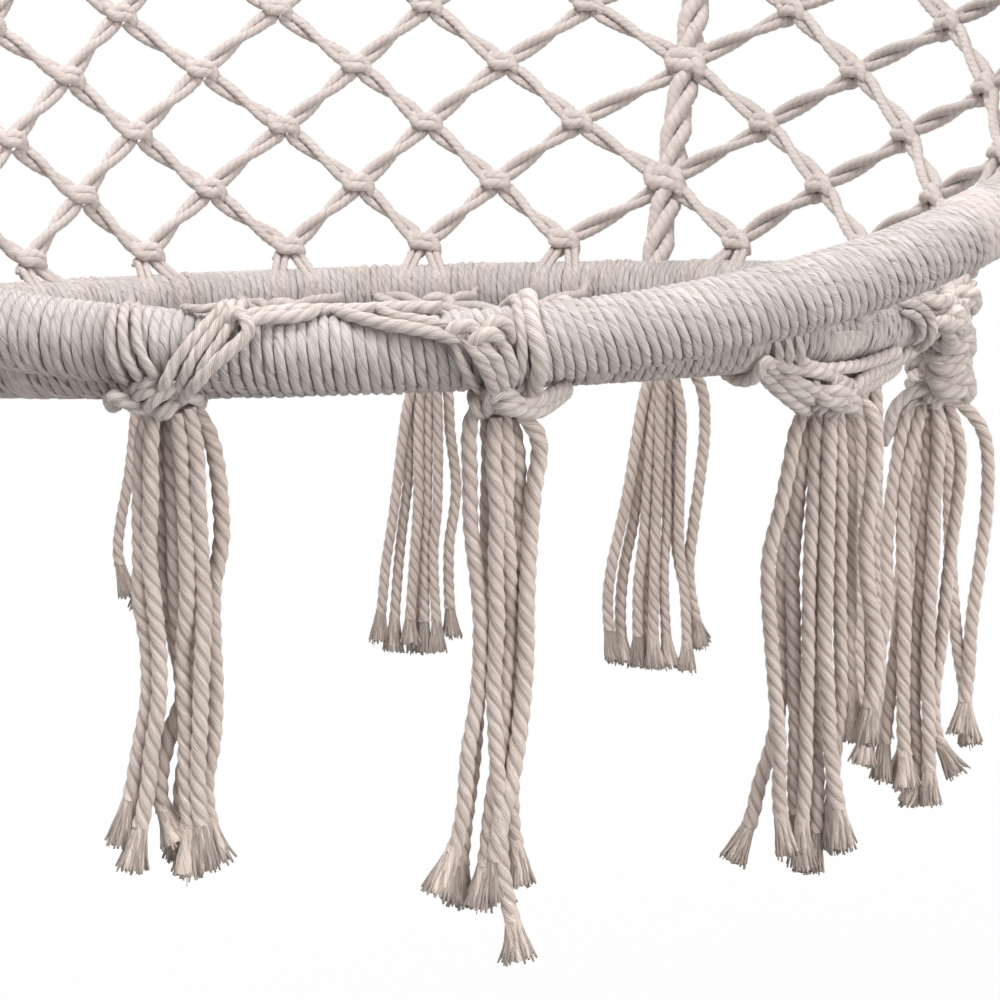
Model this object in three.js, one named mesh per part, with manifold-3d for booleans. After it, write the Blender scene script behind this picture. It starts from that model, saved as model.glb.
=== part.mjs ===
// Round hammock chair of knotted cotton cord on two steel rings, hung from one small ring.
// Millimetres, +Z up. The sitter faces -Y, and +X is on the right of someone who looks at the chair.
// The origin is where a hook bears, at the top of the small ring's hole.
import * as THREE from "three";
import { mergeVertices } from "three/addons/utils/BufferGeometryUtils.js";
import Module from "manifold-3d";

const wasm = await Module();
wasm.setup();

// Driving sizes of the frame
const SEAT_DROP = 960; // from the hook down to the middle of the seat ring
const SEAT_FORWARD = 25; // the seat ring's middle lies this far in front of the hook, for balance
const SEAT_RING_RADIUS = 300; // to the middle of the tube
const BACK_RING_RADIUS = 400;
const TUBE_DIAMETER = 25;
const TUBE_WALL = 1.5;
const VENT_HOLE = 3; // the drain hole of a plated tube
const WINDING_CORD = 4.3; // the cord wound close round both rings
const SEAM_GAP = 0.8; // where a winding's first and last turns meet
const HANG_RING_BORE = 64;
const HANG_RING_WIRE = 9;

// Driving sizes of the ropes and nets
const ROPE_DIAMETER = 8;
const COLLAR_CORD = 4;
const COLLAR_LENGTH = 46;
const COLLAR_DROP = 44; // from the small ring's lower wire to the top of the collar
const NET_CORD = 6; // one side of a mesh, two cords laid together
const NET_KNOT = 15;
const NET_KNOT_DEPTH = 12;
const NET_FIRST_ROW = 30; // height of the lowest row of knots above the seat ring
const NET_ROW = 39.5; // rise from row to row
const BRAID_WIDTH = 16;
const BRAID_KNOT = 30; // length of one knot of a braid
const SEAT_NET_MESH = 100;
const SEAT_NET_SAG = 30;

// Driving sizes of the lashings, ties and tassels
const LASHING_CORD = 5;
const LASHING_KNOT_DROP = 16; // below the line between the two tubes that it binds
const TIE_CORD = 5;
const TIE_SPREAD = 36; // a tie's legs reach this far along the ring to either side of its knot
const TIE_DROP = 34; // from the seat ring's middle down to a tie's knot
const KNOT_WIDTH = 27;
const KNOT_DEPTH = 19;
const KNOT_HEIGHT = 19;
const NECK_DIAMETER = 20;
const TASSEL_CORD = 6.8;
const TASSEL_LENGTH = 190; // from the neck to the ends of the longest strands
const TASSEL_SPREAD = 17; // how far the strands stand out at their ends

// Clearances
const SEAT_GAP = 0.3; // between a piece and what it is seated on
const SADDLE_ROOM = 1.8; // round the hanging ring's wire, which is curved
const TURN_GAP = 0.6; // between the turns of a winding

// Angles, in degrees. Those on a ring count from the front towards +X.
const BACK_TILT = 22.6; // how far the back ring rises from the seat ring
const RING_RISE = 6; // the back ring's tube lies this much above the seat ring's at the front
const ROPE_ANGLES = [60, 82, 103.5, 137.5]; // on the back ring, on both sides
const LINKS = { left_2: -78.6, left_1: -52.4, right_1: 42.4, right_2: 68.6 };
// Columns of net knots, from the middle of the back, as tied by hand. They alternate from row to row.
const EVEN_COLUMNS = [-94, -74.5, -57.5, -41, -25.5, -8, 8.5, 26.2, 50, 71.5, 93];
const ODD_COLUMNS = [-83, -66, -49, -33, -17.2, 0.5, 17, 38.5, 60.5, 82];
const SPINE_COLUMNS = [-49, 38.5]; // two columns carry a thick braid from ring to ring
// The rows sink towards the sides, by this share at this angle from the middle of the back
const SIDE_SINK_SHARE = 0.22;
const SIDE_SINK_ANGLE = 82;

// Tassels hang from two lashings at the front, and from ties round the rest of the seat ring
const LASHINGS = {
  front_left: { angle: -18.6, lengthShare: 1.01 },
  front_right: { angle: 8.6, lengthShare: 1.16 },
};
const TIES = {
  right_1: { angle: 42.4, dropShare: 1, lengthShare: 1.07 },
  right_2: { angle: 68.6, dropShare: 1.35, lengthShare: 0.98 },
  right_3: { angle: 85, dropShare: 1.2, lengthShare: 0.92 },
  right_4: { angle: 104.3, dropShare: 1, lengthShare: 1.04 },
  right_5: { angle: 140.2, dropShare: 1, lengthShare: 1.04 },
  rear: { angle: 171.6, dropShare: 1, lengthShare: 1 },
  left_5: { angle: -150.7, dropShare: 1, lengthShare: 0.95 },
  left_4: { angle: -118, dropShare: 1, lengthShare: 1.02 },
  left_3: { angle: -96, dropShare: 1, lengthShare: 0.97 },
  left_2: { angle: -75, dropShare: 1.2, lengthShare: 1 },
  left_1: { angle: -52.4, dropShare: 1, lengthShare: 1.05 },
};

// Counts, and how fine the facets are
const RING_SEGMENTS = 28;
const TUBE_SIDES = 6;
const WINDING_SIDES = 8;
const CORD_SIDES = 5;
const LEG_SIDES = 4;
const STRAND_SIDES = 3;
const COLLAR_STEPS = 8;
const HITCH_STEPS = 9;
const HITCH_TURNS = 1.5;
const LASHING_STEPS = 12;
const LASHING_TURNS = 3;
const TIE_STEPS = 6;
const STRAND_COUNT = 6;
const STRAND_STEPS = 2;

// The two rings. The seat ring is level, and the back ring rises from it towards the back.
const WOUND_RADIUS = TUBE_DIAMETER / 2 + WINDING_CORD;
const xAxis = new THREE.Vector3(1, 0, 0);
const yAxis = new THREE.Vector3(0, 1, 0);
const up = new THREE.Vector3(0, 0, 1);
const ringSpacing = 2 * WOUND_RADIUS + SEAT_GAP;

function makeRing(radius, tiltDegrees, front) {
  const tilt = THREE.MathUtils.degToRad(tiltDegrees);
  const centre = new THREE.Vector3(0, radius, 0).applyAxisAngle(xAxis, tilt).add(front);
  const normal = up.clone().applyAxisAngle(xAxis, tilt);
  return { radius, tilt, centre, normal };
}

const seatFront = new THREE.Vector3(0, -SEAT_FORWARD - SEAT_RING_RADIUS, -SEAT_DROP);
const ringRise = THREE.MathUtils.degToRad(RING_RISE);
const towardBack = new THREE.Vector3(0, -ringSpacing, 0).applyAxisAngle(xAxis, -ringRise);
const seatRing = makeRing(SEAT_RING_RADIUS, 0, seatFront);
const backRing = makeRing(BACK_RING_RADIUS, BACK_TILT, seatFront.clone().add(towardBack));

function ringOutward(ring, angle) {
  const turn = THREE.MathUtils.degToRad(angle);
  return new THREE.Vector3(Math.sin(turn), -Math.cos(turn), 0).applyAxisAngle(xAxis, ring.tilt);
}

// A place in the middle of a ring's tube, which runs straight from facet to facet
function ringPoint(ring, angle) {
  const facet = 360 / RING_SEGMENTS;
  const offMiddle = THREE.MathUtils.degToRad(THREE.MathUtils.euclideanModulo(angle, facet) - facet / 2);
  const inset = Math.cos(Math.PI / RING_SEGMENTS) / Math.cos(offMiddle);
  return ringOutward(ring, angle)
    .multiplyScalar(ring.radius * inset)
    .add(ring.centre);
}

// A place round a ring's tube: section 0 degrees is outward and 90 is up, and shift is along the tube
function roundTube(ring, angle, radius, section, shift) {
  const outward = ringOutward(ring, angle);
  const along = new THREE.Vector3().crossVectors(ring.normal, outward);
  const turn = THREE.MathUtils.degToRad(section);
  return ringPoint(ring, angle)
    .addScaledVector(outward, radius * Math.cos(turn))
    .addScaledVector(ring.normal, radius * Math.sin(turn))
    .addScaledVector(along, shift);
}

// Finishes
const cotton = { color: 0xd8cec4, roughness: 0.92, metalness: 0 };
const shadedCotton = { color: 0xc9bdb1, roughness: 0.94, metalness: 0 };
const zincSteel = { color: 0x9a9ea1, roughness: 0.35, metalness: 1 };

// Solids: a closed geometry becomes a manifold and comes back
function toSolid(geometry) {
  const bare = geometry.clone();
  bare.deleteAttribute("normal");
  bare.deleteAttribute("uv");
  const merged = mergeVertices(bare);
  const mesh = new wasm.Mesh({
    numProp: 3,
    vertProperties: merged.attributes.position.array,
    triVerts: new Uint32Array(merged.index.array),
  });
  return new wasm.Manifold(mesh);
}

function toGeometry(solid) {
  const { vertProperties, triVerts } = solid.getMesh();
  const geometry = new THREE.BufferGeometry();
  geometry.setAttribute("position", new THREE.BufferAttribute(vertProperties, 3));
  geometry.setIndex(new THREE.BufferAttribute(triVerts, 1));
  return geometry;
}

function union(solids) {
  return solids.reduce((whole, next) => whole.add(next));
}

function namedMesh(name, geometry, finish) {
  const mesh = new THREE.Mesh(geometry, new THREE.MeshStandardMaterial(finish));
  mesh.name = name;
  return mesh;
}

// A cord's path, with one step of the tube at each of its points
class CordPath extends THREE.Curve {
  constructor(points) {
    super();
    this.points = points;
  }

  getPoint(share) {
    const place = Math.min(Math.max(share, 0), 1) * (this.points.length - 1);
    const index = Math.min(Math.floor(place), this.points.length - 2);
    return this.points[index].clone().lerp(this.points[index + 1], place - index);
  }

  getPointAt(share) {
    return this.getPoint(share);
  }

  getTangentAt(share) {
    return this.getTangent(share);
  }
}

function cordAlong(points, diameter, sides = CORD_SIDES) {
  const corners = Array.from({ length: sides }, (_, side) => {
    const turn = (2 * Math.PI * side) / sides;
    return new THREE.Vector2(Math.cos(turn), Math.sin(turn)).multiplyScalar(diameter / 2);
  });
  const settings = { steps: points.length - 1, bevelEnabled: false, extrudePath: new CordPath(points) };
  return new THREE.ExtrudeGeometry(new THREE.Shape(corners), settings);
}

function pathPoints(count, pointAt) {
  return Array.from({ length: count + 1 }, (_, index) => pointAt(index / count));
}

// The radius of a loop of so many straight steps that keeps clear of a round bar
function loopRadius(barRadius, diameter, steps) {
  return (barRadius + diameter / 2 + SEAT_GAP) / Math.cos(Math.PI / steps);
}

// The least gap between the turns of a wound cord, measured on its points
function printLeastGap(name, points, stepsPerTurn, diameter) {
  let least = Infinity;
  points.forEach((point, index) => {
    points.slice(index + Math.ceil(stepsPerTurn / 2)).forEach((other) => {
      least = Math.min(least, point.distanceTo(other));
    });
  });
  console.log(`${name}: least gap between turns ${(least - diameter).toFixed(2)} mm`);
}

// Hanging ring: welded steel wire that the hook holds
const HANG_RING_SIDES = 8;
const HANG_RING_SEGMENTS = 24;
const wireRingRadius = (HANG_RING_BORE + HANG_RING_WIRE) / 2;

function hangRing() {
  const torus = new THREE.TorusGeometry(
    wireRingRadius,
    HANG_RING_WIRE / 2,
    HANG_RING_SIDES,
    HANG_RING_SEGMENTS,
  );
  const mesh = namedMesh("hang_ring", torus, zincSteel);
  mesh.rotation.x = Math.PI / 2;
  mesh.position.z = -HANG_RING_BORE / 2;
  return mesh;
}

// Hanging cords: four ropes folded over the lower wire of the hanging ring. Their eight legs
// draw together into a round bundle, which the collar's winding holds.
const lowerWireZ = -HANG_RING_BORE - HANG_RING_WIRE / 2;
const collarTopZ = lowerWireZ - COLLAR_DROP;
const collarBottomZ = collarTopZ - COLLAR_LENGTH;
const ropePitch = ROPE_DIAMETER + TURN_GAP;
const bundleRadius = ropePitch / 2 / Math.sin(Math.PI / 8);
const saddleRadius = (HANG_RING_WIRE + ROPE_DIAMETER) / 2 + SADDLE_ROOM;
const SADDLE_STEPS = 8;

// Place of one leg in the bundle, of eight that count from the front towards +X
function bundlePlace(index, z) {
  const turn = ((index + 0.5) * Math.PI) / 4;
  return new THREE.Vector3(bundleRadius * Math.sin(turn), -bundleRadius * Math.cos(turn), z);
}

function hangingCord(order) {
  const x = (order - 1.5) * ropePitch;
  const reach = HANG_RING_BORE / 2 - SEAT_GAP - ROPE_DIAMETER / 2;
  const saddleZ = -HANG_RING_BORE / 2 - Math.sqrt(reach ** 2 - x ** 2) - saddleRadius;
  const legs = [
    [6, 5],
    [7, 4],
    [0, 3],
    [1, 2],
  ][order];
  const saddle = pathPoints(SADDLE_STEPS, (share) => {
    const turn = Math.PI * share;
    return new THREE.Vector3(x, -saddleRadius * Math.cos(turn), saddleZ + saddleRadius * Math.sin(turn));
  });
  const [frontLeg, backLeg] = legs.map((leg) => [collarBottomZ, collarTopZ].map((z) => bundlePlace(leg, z)));
  const points = [...frontLeg, ...saddle, ...backLeg.reverse()];
  return namedMesh(`hanging_cord_${order + 1}`, cordAlong(points, ROPE_DIAMETER), cotton);
}

// Collar: one cord wound round the eight legs in a close helix
function collarWinding() {
  const radius = loopRadius(bundleRadius + ROPE_DIAMETER / 2, COLLAR_CORD, COLLAR_STEPS);
  const pitch = COLLAR_CORD + TURN_GAP;
  const turns = Math.floor((COLLAR_LENGTH - COLLAR_CORD) / pitch);
  const startZ = collarBottomZ + (COLLAR_LENGTH - turns * pitch) / 2;
  const points = pathPoints(turns * COLLAR_STEPS, (share) => {
    const turn = 2 * Math.PI * turns * share;
    const z = startZ + turns * pitch * share;
    return new THREE.Vector3(radius * Math.cos(turn), radius * Math.sin(turn), z);
  });
  printLeastGap("collar_winding", points, COLLAR_STEPS, COLLAR_CORD);
  return namedMesh("collar_winding", cordAlong(points, COLLAR_CORD), cotton);
}

// Suspension ropes: from the collar straight to the back ring, where each is hitched round the tube
function suspensionRope(name, angle, bundleIndex) {
  const start = bundlePlace(bundleIndex, collarBottomZ - SEAT_GAP);
  const leave = bundlePlace(bundleIndex, start.z - 2 * ROPE_DIAMETER);
  const coilRadius = loopRadius(WOUND_RADIUS, ROPE_DIAMETER, HITCH_STEPS);
  const pull = leave.clone().sub(ringPoint(backRing, angle));
  const heading = Math.atan2(pull.dot(backRing.normal), pull.dot(ringOutward(backRing, angle)));
  const meet = THREE.MathUtils.radToDeg(heading - Math.acos(coilRadius / pull.length()));
  const coil = pathPoints(Math.ceil(HITCH_TURNS * HITCH_STEPS), (share) => {
    const shift = (share - 0.5) * HITCH_TURNS * ropePitch * Math.sign(angle);
    return roundTube(backRing, angle, coilRadius, meet - 360 * HITCH_TURNS * share, shift);
  });
  return namedMesh(name, cordAlong([start, leave, ...coil], ROPE_DIAMETER), cotton);
}

function suspensionRopes() {
  return ROPE_ANGLES.flatMap((angle, index) => [
    suspensionRope(`suspension_rope_right_${index + 1}`, angle, index),
    suspensionRope(`suspension_rope_left_${index + 1}`, -angle, 7 - index),
  ]);
}

// Rings: a hollow steel tube each, inside a cord winding whose ends meet at the back
function ringTorus(ring, radius, sides) {
  return new THREE.TorusGeometry(ring.radius, radius, sides, RING_SEGMENTS);
}

function placeRing(mesh, ring) {
  mesh.rotation.x = ring.tilt;
  mesh.position.copy(ring.centre);
  return mesh;
}

function ringTube(name, ring) {
  const wall = toSolid(ringTorus(ring, TUBE_DIAMETER / 2, TUBE_SIDES));
  const hollow = toSolid(ringTorus(ring, TUBE_DIAMETER / 2 - TUBE_WALL, TUBE_SIDES));
  const vent = new THREE.CylinderGeometry(VENT_HOLE / 2, VENT_HOLE / 2, 3 * TUBE_WALL, TUBE_SIDES);
  vent.translate(0, -ring.radius + (TUBE_DIAMETER - TUBE_WALL) / 2, 0);
  const tube = wall.subtract(hollow).subtract(toSolid(vent));
  return placeRing(namedMesh(name, toGeometry(tube), zincSteel), ring);
}

function ringWinding(name, ring) {
  const outside = toSolid(ringTorus(ring, WOUND_RADIUS, WINDING_SIDES));
  const inside = toSolid(ringTorus(ring, TUBE_DIAMETER / 2 + SEAT_GAP, TUBE_SIDES));
  const seam = new THREE.BoxGeometry(SEAM_GAP, 3 * WOUND_RADIUS, 3 * WOUND_RADIUS);
  seam.translate(0, ring.radius, 0);
  const winding = outside.subtract(inside).subtract(toSolid(seam));
  return placeRing(namedMesh(name, toGeometry(winding), cotton), ring);
}

// The room that a wound ring takes up, with the gap that what rests on it keeps
function ringRoom(ring) {
  const torus = ringTorus(ring, WOUND_RADIUS + SEAT_GAP, WINDING_SIDES);
  return toSolid(torus.rotateX(ring.tilt).translate(...ring.centre));
}

const seatRingRoom = ringRoom(seatRing);
const backRingRoom = ringRoom(backRing);

function clearOfRings(solid) {
  return solid.subtract(seatRingRoom).subtract(backRingRoom);
}

// Braid: a thick chain of square knots from one place to another
const BRAID_SIDES = 6;
const BRAID_WAIST_SHARE = 0.72;

function braid(from, to) {
  const length = from.distanceTo(to);
  const knots = Math.max(1, Math.round(length / BRAID_KNOT));
  const profile = [new THREE.Vector2(0, 0)];
  for (let step = 0; step <= 2 * knots; step += 1) {
    const share = step % 2 === 0 ? BRAID_WAIST_SHARE : 1;
    profile.push(new THREE.Vector2((BRAID_WIDTH / 2) * share, (length * step) / (2 * knots)));
  }
  profile.push(new THREE.Vector2(0, length));
  const lathe = new THREE.LatheGeometry(profile, BRAID_SIDES);
  const heading = to.clone().sub(from).normalize();
  const turn = new THREE.Quaternion().setFromUnitVectors(yAxis, heading);
  return toSolid(lathe.applyQuaternion(turn).translate(...from));
}

// Nets. A net is one surface of knots and cords: a knot has four ports, in order round its face,
// and a square bar of cord runs from a port to the opposite port of another knot, or to an end.
const PORTS = [
  { right: 1, rise: 1 },
  { right: -1, rise: 1 },
  { right: -1, rise: -1 },
  { right: 1, rise: -1 },
];
const UPPER_PORTS = 2;
const SQUARE_CORNERS = [
  { side: -1, face: -1 },
  { side: 1, face: -1 },
  { side: 1, face: 1 },
  { side: -1, face: 1 },
];

function addFace(surface, ...corners) {
  for (let corner = 2; corner < corners.length; corner += 1) {
    surface.push(corners[0], corners[corner - 1], corners[corner]);
  }
}

// The corners of a port, anticlockwise for someone who looks at the knot along its cord
function portCorners(knot, port) {
  const link = knot.links[port];
  const plain = knot.place.clone().addScaledVector(knot.right, PORTS[port].right);
  const aim = link?.to?.place ?? link?.end ?? plain.addScaledVector(knot.rise, PORTS[port].rise);
  const heading = aim.clone().sub(knot.place).projectOnPlane(knot.face).normalize();
  const side = new THREE.Vector3().crossVectors(knot.face, heading);
  const middle = knot.place.clone().addScaledVector(heading, NET_KNOT / 2);
  return SQUARE_CORNERS.map((corner) =>
    middle
      .clone()
      .addScaledVector(side, (corner.side * NET_CORD) / 2)
      .addScaledVector(knot.face, (corner.face * NET_CORD) / 2),
  );
}

function addBar(surface, near, far) {
  near.forEach((corner, index) => {
    const next = (index + 1) % near.length;
    addFace(surface, corner, near[next], far[next], far[index]);
  });
}

function addKnot(surface, knot) {
  const ports = knot.links.map((_, port) => portCorners(knot, port));
  const crown = knot.place.clone().addScaledVector(knot.face, NET_KNOT_DEPTH / 2);
  const back = knot.place.clone().addScaledVector(knot.face, -NET_KNOT_DEPTH / 2);
  ports.forEach((corners, port) => {
    const next = ports[(port + 1) % ports.length];
    const link = knot.links[port];
    addFace(surface, crown, corners[3], corners[2]);
    addFace(surface, crown, corners[2], next[3]);
    addFace(surface, back, corners[1], corners[0]);
    addFace(surface, back, next[0], corners[1]);
    addFace(surface, corners[1], next[0], next[3], corners[2]);
    if (link?.end) {
      const middle = corners[0].clone().lerp(corners[2], 1 / 2);
      const far = corners.map((corner) => corner.clone().sub(middle).add(link.end));
      addBar(surface, corners, far);
      addFace(surface, ...far);
    } else if (!link) {
      addFace(surface, ...corners);
    } else if (port < UPPER_PORTS) {
      const [first, second, third, fourth] = portCorners(link.to, port + UPPER_PORTS);
      addBar(surface, corners, [second, first, fourth, third]);
    }
  });
}

function netSolid(knots) {
  const surface = [];
  knots.forEach((knot) => addKnot(surface, knot));
  return toSolid(new THREE.BufferGeometry().setFromPoints(surface));
}

// Back net: diamonds on the slanting wall between the rings, knotted where the cords cross
function wallHeight(backAngle) {
  return ringPoint(backRing, 180 - backAngle).z - seatRing.centre.z;
}

function wallPoint(backAngle, height) {
  const low = ringPoint(seatRing, 180 - backAngle);
  return low.lerp(ringPoint(backRing, 180 - backAngle), height / wallHeight(backAngle));
}

function netColumns(row) {
  return row % 2 === 0 ? EVEN_COLUMNS : ODD_COLUMNS;
}

// One knot of a row, or null where the back ring is already too near
function backNetKnot(row, backAngle) {
  const sink = 1 - SIDE_SINK_SHARE * (backAngle / SIDE_SINK_ANGLE) ** 2;
  const height = (NET_FIRST_ROW + row * NET_ROW) * sink;
  if (height > wallHeight(backAngle) - WOUND_RADIUS - NET_KNOT) return null;
  const place = wallPoint(backAngle, height);
  const rise = ringPoint(backRing, 180 - backAngle).sub(place).normalize();
  const right = ringPoint(seatRing, 90 - backAngle).sub(seatRing.centre).normalize();
  const face = new THREE.Vector3().crossVectors(right, rise).normalize();
  return { place, rise, right, face, links: [null, null, null, null] };
}

function linkBackNetKnot(rows, row, column) {
  const knot = rows[row][column];
  const backAngle = netColumns(row)[column];
  const leftAbove = row % 2 === 0 ? column - 1 : column;
  const hitch = THREE.MathUtils.radToDeg(NET_KNOT / 2 / BACK_RING_RADIUS);
  [leftAbove + 1, leftAbove].forEach((above, port) => {
    const upper = rows[row + 1]?.[above];
    const aboveAngle = (netColumns(row + 1)[above] ?? backAngle) - PORTS[port].right * hitch;
    knot.links[port] = upper ? { to: upper } : { end: ringPoint(backRing, 180 - aboveAngle) };
    if (upper) upper.links[port + UPPER_PORTS] = { to: knot };
  });
  if (row === 0) {
    const foot = THREE.MathUtils.radToDeg(NET_KNOT / SEAT_RING_RADIUS);
    knot.links[2] = { end: ringPoint(seatRing, 180 - backAngle + foot) };
    knot.links[3] = { end: ringPoint(seatRing, 180 - backAngle - foot) };
  }
}

function backNet() {
  const rowCount = Math.floor(wallHeight(0) / NET_ROW);
  const rows = Array.from({ length: rowCount }, (_, row) =>
    netColumns(row).map((backAngle) => backNetKnot(row, backAngle)),
  );
  rows.forEach((knots, row) => knots.forEach((knot, column) => knot && linkBackNetKnot(rows, row, column)));
  const spines = SPINE_COLUMNS.map((backAngle) =>
    braid(ringPoint(seatRing, 180 - backAngle), ringPoint(backRing, 180 - backAngle)),
  );
  const net = union([netSolid(rows.flat().filter(Boolean)), ...spines]);
  return namedMesh("back_net", toGeometry(clearOfRings(net)), cotton);
}

// Links: short braids that close the net towards the front, from ring to ring
function ringLinks() {
  return Object.entries(LINKS).map(([side, angle]) => {
    const solid = braid(ringPoint(seatRing, angle), ringPoint(backRing, angle));
    return namedMesh(`ring_link_${side}`, toGeometry(clearOfRings(solid)), cotton);
  });
}

// Seat net: diamonds inside the seat ring that sag towards the middle
function seatNetPoint(x, y) {
  const reach = Math.hypot(x, y) / SEAT_RING_RADIUS;
  return new THREE.Vector3(x, y, -SEAT_NET_SAG * (1 - reach ** 2)).add(seatRing.centre);
}

// Knots lie half a mesh apart in both directions, on every second place of that grid
function seatNetKnot(column, row) {
  const x = (column * SEAT_NET_MESH) / 2;
  const y = (row * SEAT_NET_MESH) / 2;
  if (Math.hypot(x, y) > SEAT_RING_RADIUS - WOUND_RADIUS - NET_KNOT) return null;
  const links = [null, null, null, null];
  return { place: seatNetPoint(x, y), right: xAxis, rise: yAxis, face: up, column, row, links };
}

// Where a cord that leaves a knot along a diagonal meets the seat ring
function seatNetEnd(knot, port) {
  const x = (knot.column * SEAT_NET_MESH) / 2;
  const y = (knot.row * SEAT_NET_MESH) / 2;
  const { right, rise } = PORTS[port];
  const along = (x * right + y * rise) / 2;
  const run = -along + Math.sqrt(along ** 2 + (SEAT_RING_RADIUS ** 2 - x ** 2 - y ** 2) / 2);
  return seatNetPoint(x + right * run, y + rise * run);
}

function seatNet() {
  const reach = Math.ceil((2 * SEAT_RING_RADIUS) / SEAT_NET_MESH);
  const knots = new Map();
  for (let column = -reach; column <= reach; column += 1) {
    for (let row = -reach; row <= reach; row += 1) {
      const knot = (column + row) % 2 === 0 ? seatNetKnot(column, row) : null;
      if (knot) knots.set(`${column},${row}`, knot);
    }
  }
  knots.forEach((knot) => {
    PORTS.forEach(({ right, rise }, port) => {
      const other = knots.get(`${knot.column + right},${knot.row + rise}`);
      knot.links[port] = other ? { to: other } : { end: seatNetEnd(knot, port) };
    });
  });
  return namedMesh("seat_net", toGeometry(clearOfRings(netSolid(knots))), shadedCotton);
}

// Knot: a squashed ball, wide along the ring. Balls have twenty faces, with a corner at the top
// and one at the bottom, so that a tassel's neck swings free under its knot.
const cornerUp = Math.atan(2 / (1 + Math.sqrt(5)));

function ball(width, depth, height) {
  return new THREE.IcosahedronGeometry(1 / 2).rotateX(cornerUp).scale(width, depth, height);
}

function knotAt(place, angle) {
  const knot = ball(KNOT_WIDTH, KNOT_DEPTH, KNOT_HEIGHT).rotateZ(THREE.MathUtils.degToRad(angle));
  return toSolid(knot.translate(...place));
}

// Front lashings: three turns of cord round both tubes, knotted under the valley between them
function backAngleBeside(angle) {
  const x = SEAT_RING_RADIUS * Math.sin(THREE.MathUtils.degToRad(angle));
  return THREE.MathUtils.radToDeg(Math.asin(x / BACK_RING_RADIUS));
}

function lashingKnotPlace(angle) {
  const middle = ringPoint(seatRing, angle).lerp(ringPoint(backRing, backAngleBeside(angle)), 1 / 2);
  return middle.addScaledVector(up, -LASHING_KNOT_DROP);
}

function frontLashing(name, angle) {
  const backAngle = backAngleBeside(angle);
  const across = ringPoint(backRing, backAngle).sub(ringPoint(seatRing, angle)).normalize();
  const along = new THREE.Vector3().crossVectors(up, across).normalize();
  const over = new THREE.Vector3().crossVectors(across, along);
  const radius = loopRadius(WOUND_RADIUS + SEAT_GAP, LASHING_CORD, LASHING_STEPS - 2);
  const pitch = LASHING_CORD + TURN_GAP;
  const half = LASHING_STEPS / 2;
  const points = [];
  for (let step = 0; step < LASHING_TURNS * LASHING_STEPS; step += 1) {
    const round = step % LASHING_STEPS;
    const turn = Math.PI * (Math.floor(round / half) + (round % half) / (half - 1) - 1 / 2);
    const shift = THREE.MathUtils.radToDeg((step / LASHING_STEPS - LASHING_TURNS / 2) * pitch);
    const seatPlace = ringPoint(seatRing, angle + shift / SEAT_RING_RADIUS);
    const place = round < half ? ringPoint(backRing, backAngle + shift / BACK_RING_RADIUS) : seatPlace;
    place.addScaledVector(across, radius * Math.cos(turn));
    points.push(place.addScaledVector(over, radius * Math.sin(turn)));
  }
  printLeastGap(name, points, LASHING_STEPS, LASHING_CORD);
  const knot = clearOfRings(knotAt(lashingKnotPlace(angle), angle));
  return namedMesh(name, toGeometry(toSolid(cordAlong(points, LASHING_CORD)).add(knot)), cotton);
}

// Front cord: lies on the back ring between the two lashings
const FRONT_CORD_SECTION = 45;
const FRONT_CORD_STEPS = 10;

function frontCord() {
  const [start, end] = Object.values(LASHINGS).map((lashing) => backAngleBeside(lashing.angle));
  const keepOff = THREE.MathUtils.radToDeg(((LASHING_TURNS + 1) * LASHING_CORD) / BACK_RING_RADIUS);
  const points = pathPoints(FRONT_CORD_STEPS, (share) => {
    const angle = THREE.MathUtils.lerp(start + keepOff, end - keepOff, share);
    return roundTube(backRing, angle, WOUND_RADIUS + SEAT_GAP + LASHING_CORD / 2, FRONT_CORD_SECTION, 0);
  });
  return namedMesh("front_cord", cordAlong(points, LASHING_CORD), cotton);
}

// Ties: a knot under the seat ring, on two legs that wrap the tube to either side
const TIE_WRAP = { from: -50, to: 150 };

function tieKnotPlace(tie) {
  return ringPoint(seatRing, tie.angle).addScaledVector(up, -TIE_DROP * tie.dropShare);
}

function tieLeg(tie, side) {
  const radius = loopRadius(WOUND_RADIUS, TIE_CORD, (TIE_STEPS * 360) / (TIE_WRAP.to - TIE_WRAP.from));
  const spread = THREE.MathUtils.radToDeg(TIE_SPREAD / SEAT_RING_RADIUS);
  const wrap = pathPoints(TIE_STEPS, (share) => {
    const section = THREE.MathUtils.lerp(TIE_WRAP.from, TIE_WRAP.to, share);
    return roundTube(seatRing, tie.angle + side * spread, radius, section, (side * TIE_CORD * share) / 2);
  });
  return toSolid(cordAlong([tieKnotPlace(tie), ...wrap], TIE_CORD, LEG_SIDES));
}

function tasselTie(name, tie) {
  const solid = union([tieLeg(tie, -1), tieLeg(tie, 1), knotAt(tieKnotPlace(tie), tie.angle)]);
  return namedMesh(name, toGeometry(solid), cotton);
}

// Tassels: a round neck that swings under its knot, and strands of cord that open out below it
const GOLDEN_ANGLE = Math.PI * (3 - Math.sqrt(5));
const SHORTEST_STRAND_SHARE = 0.9;
const STRAND_ROOT_SHARE = 0.5;

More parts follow.
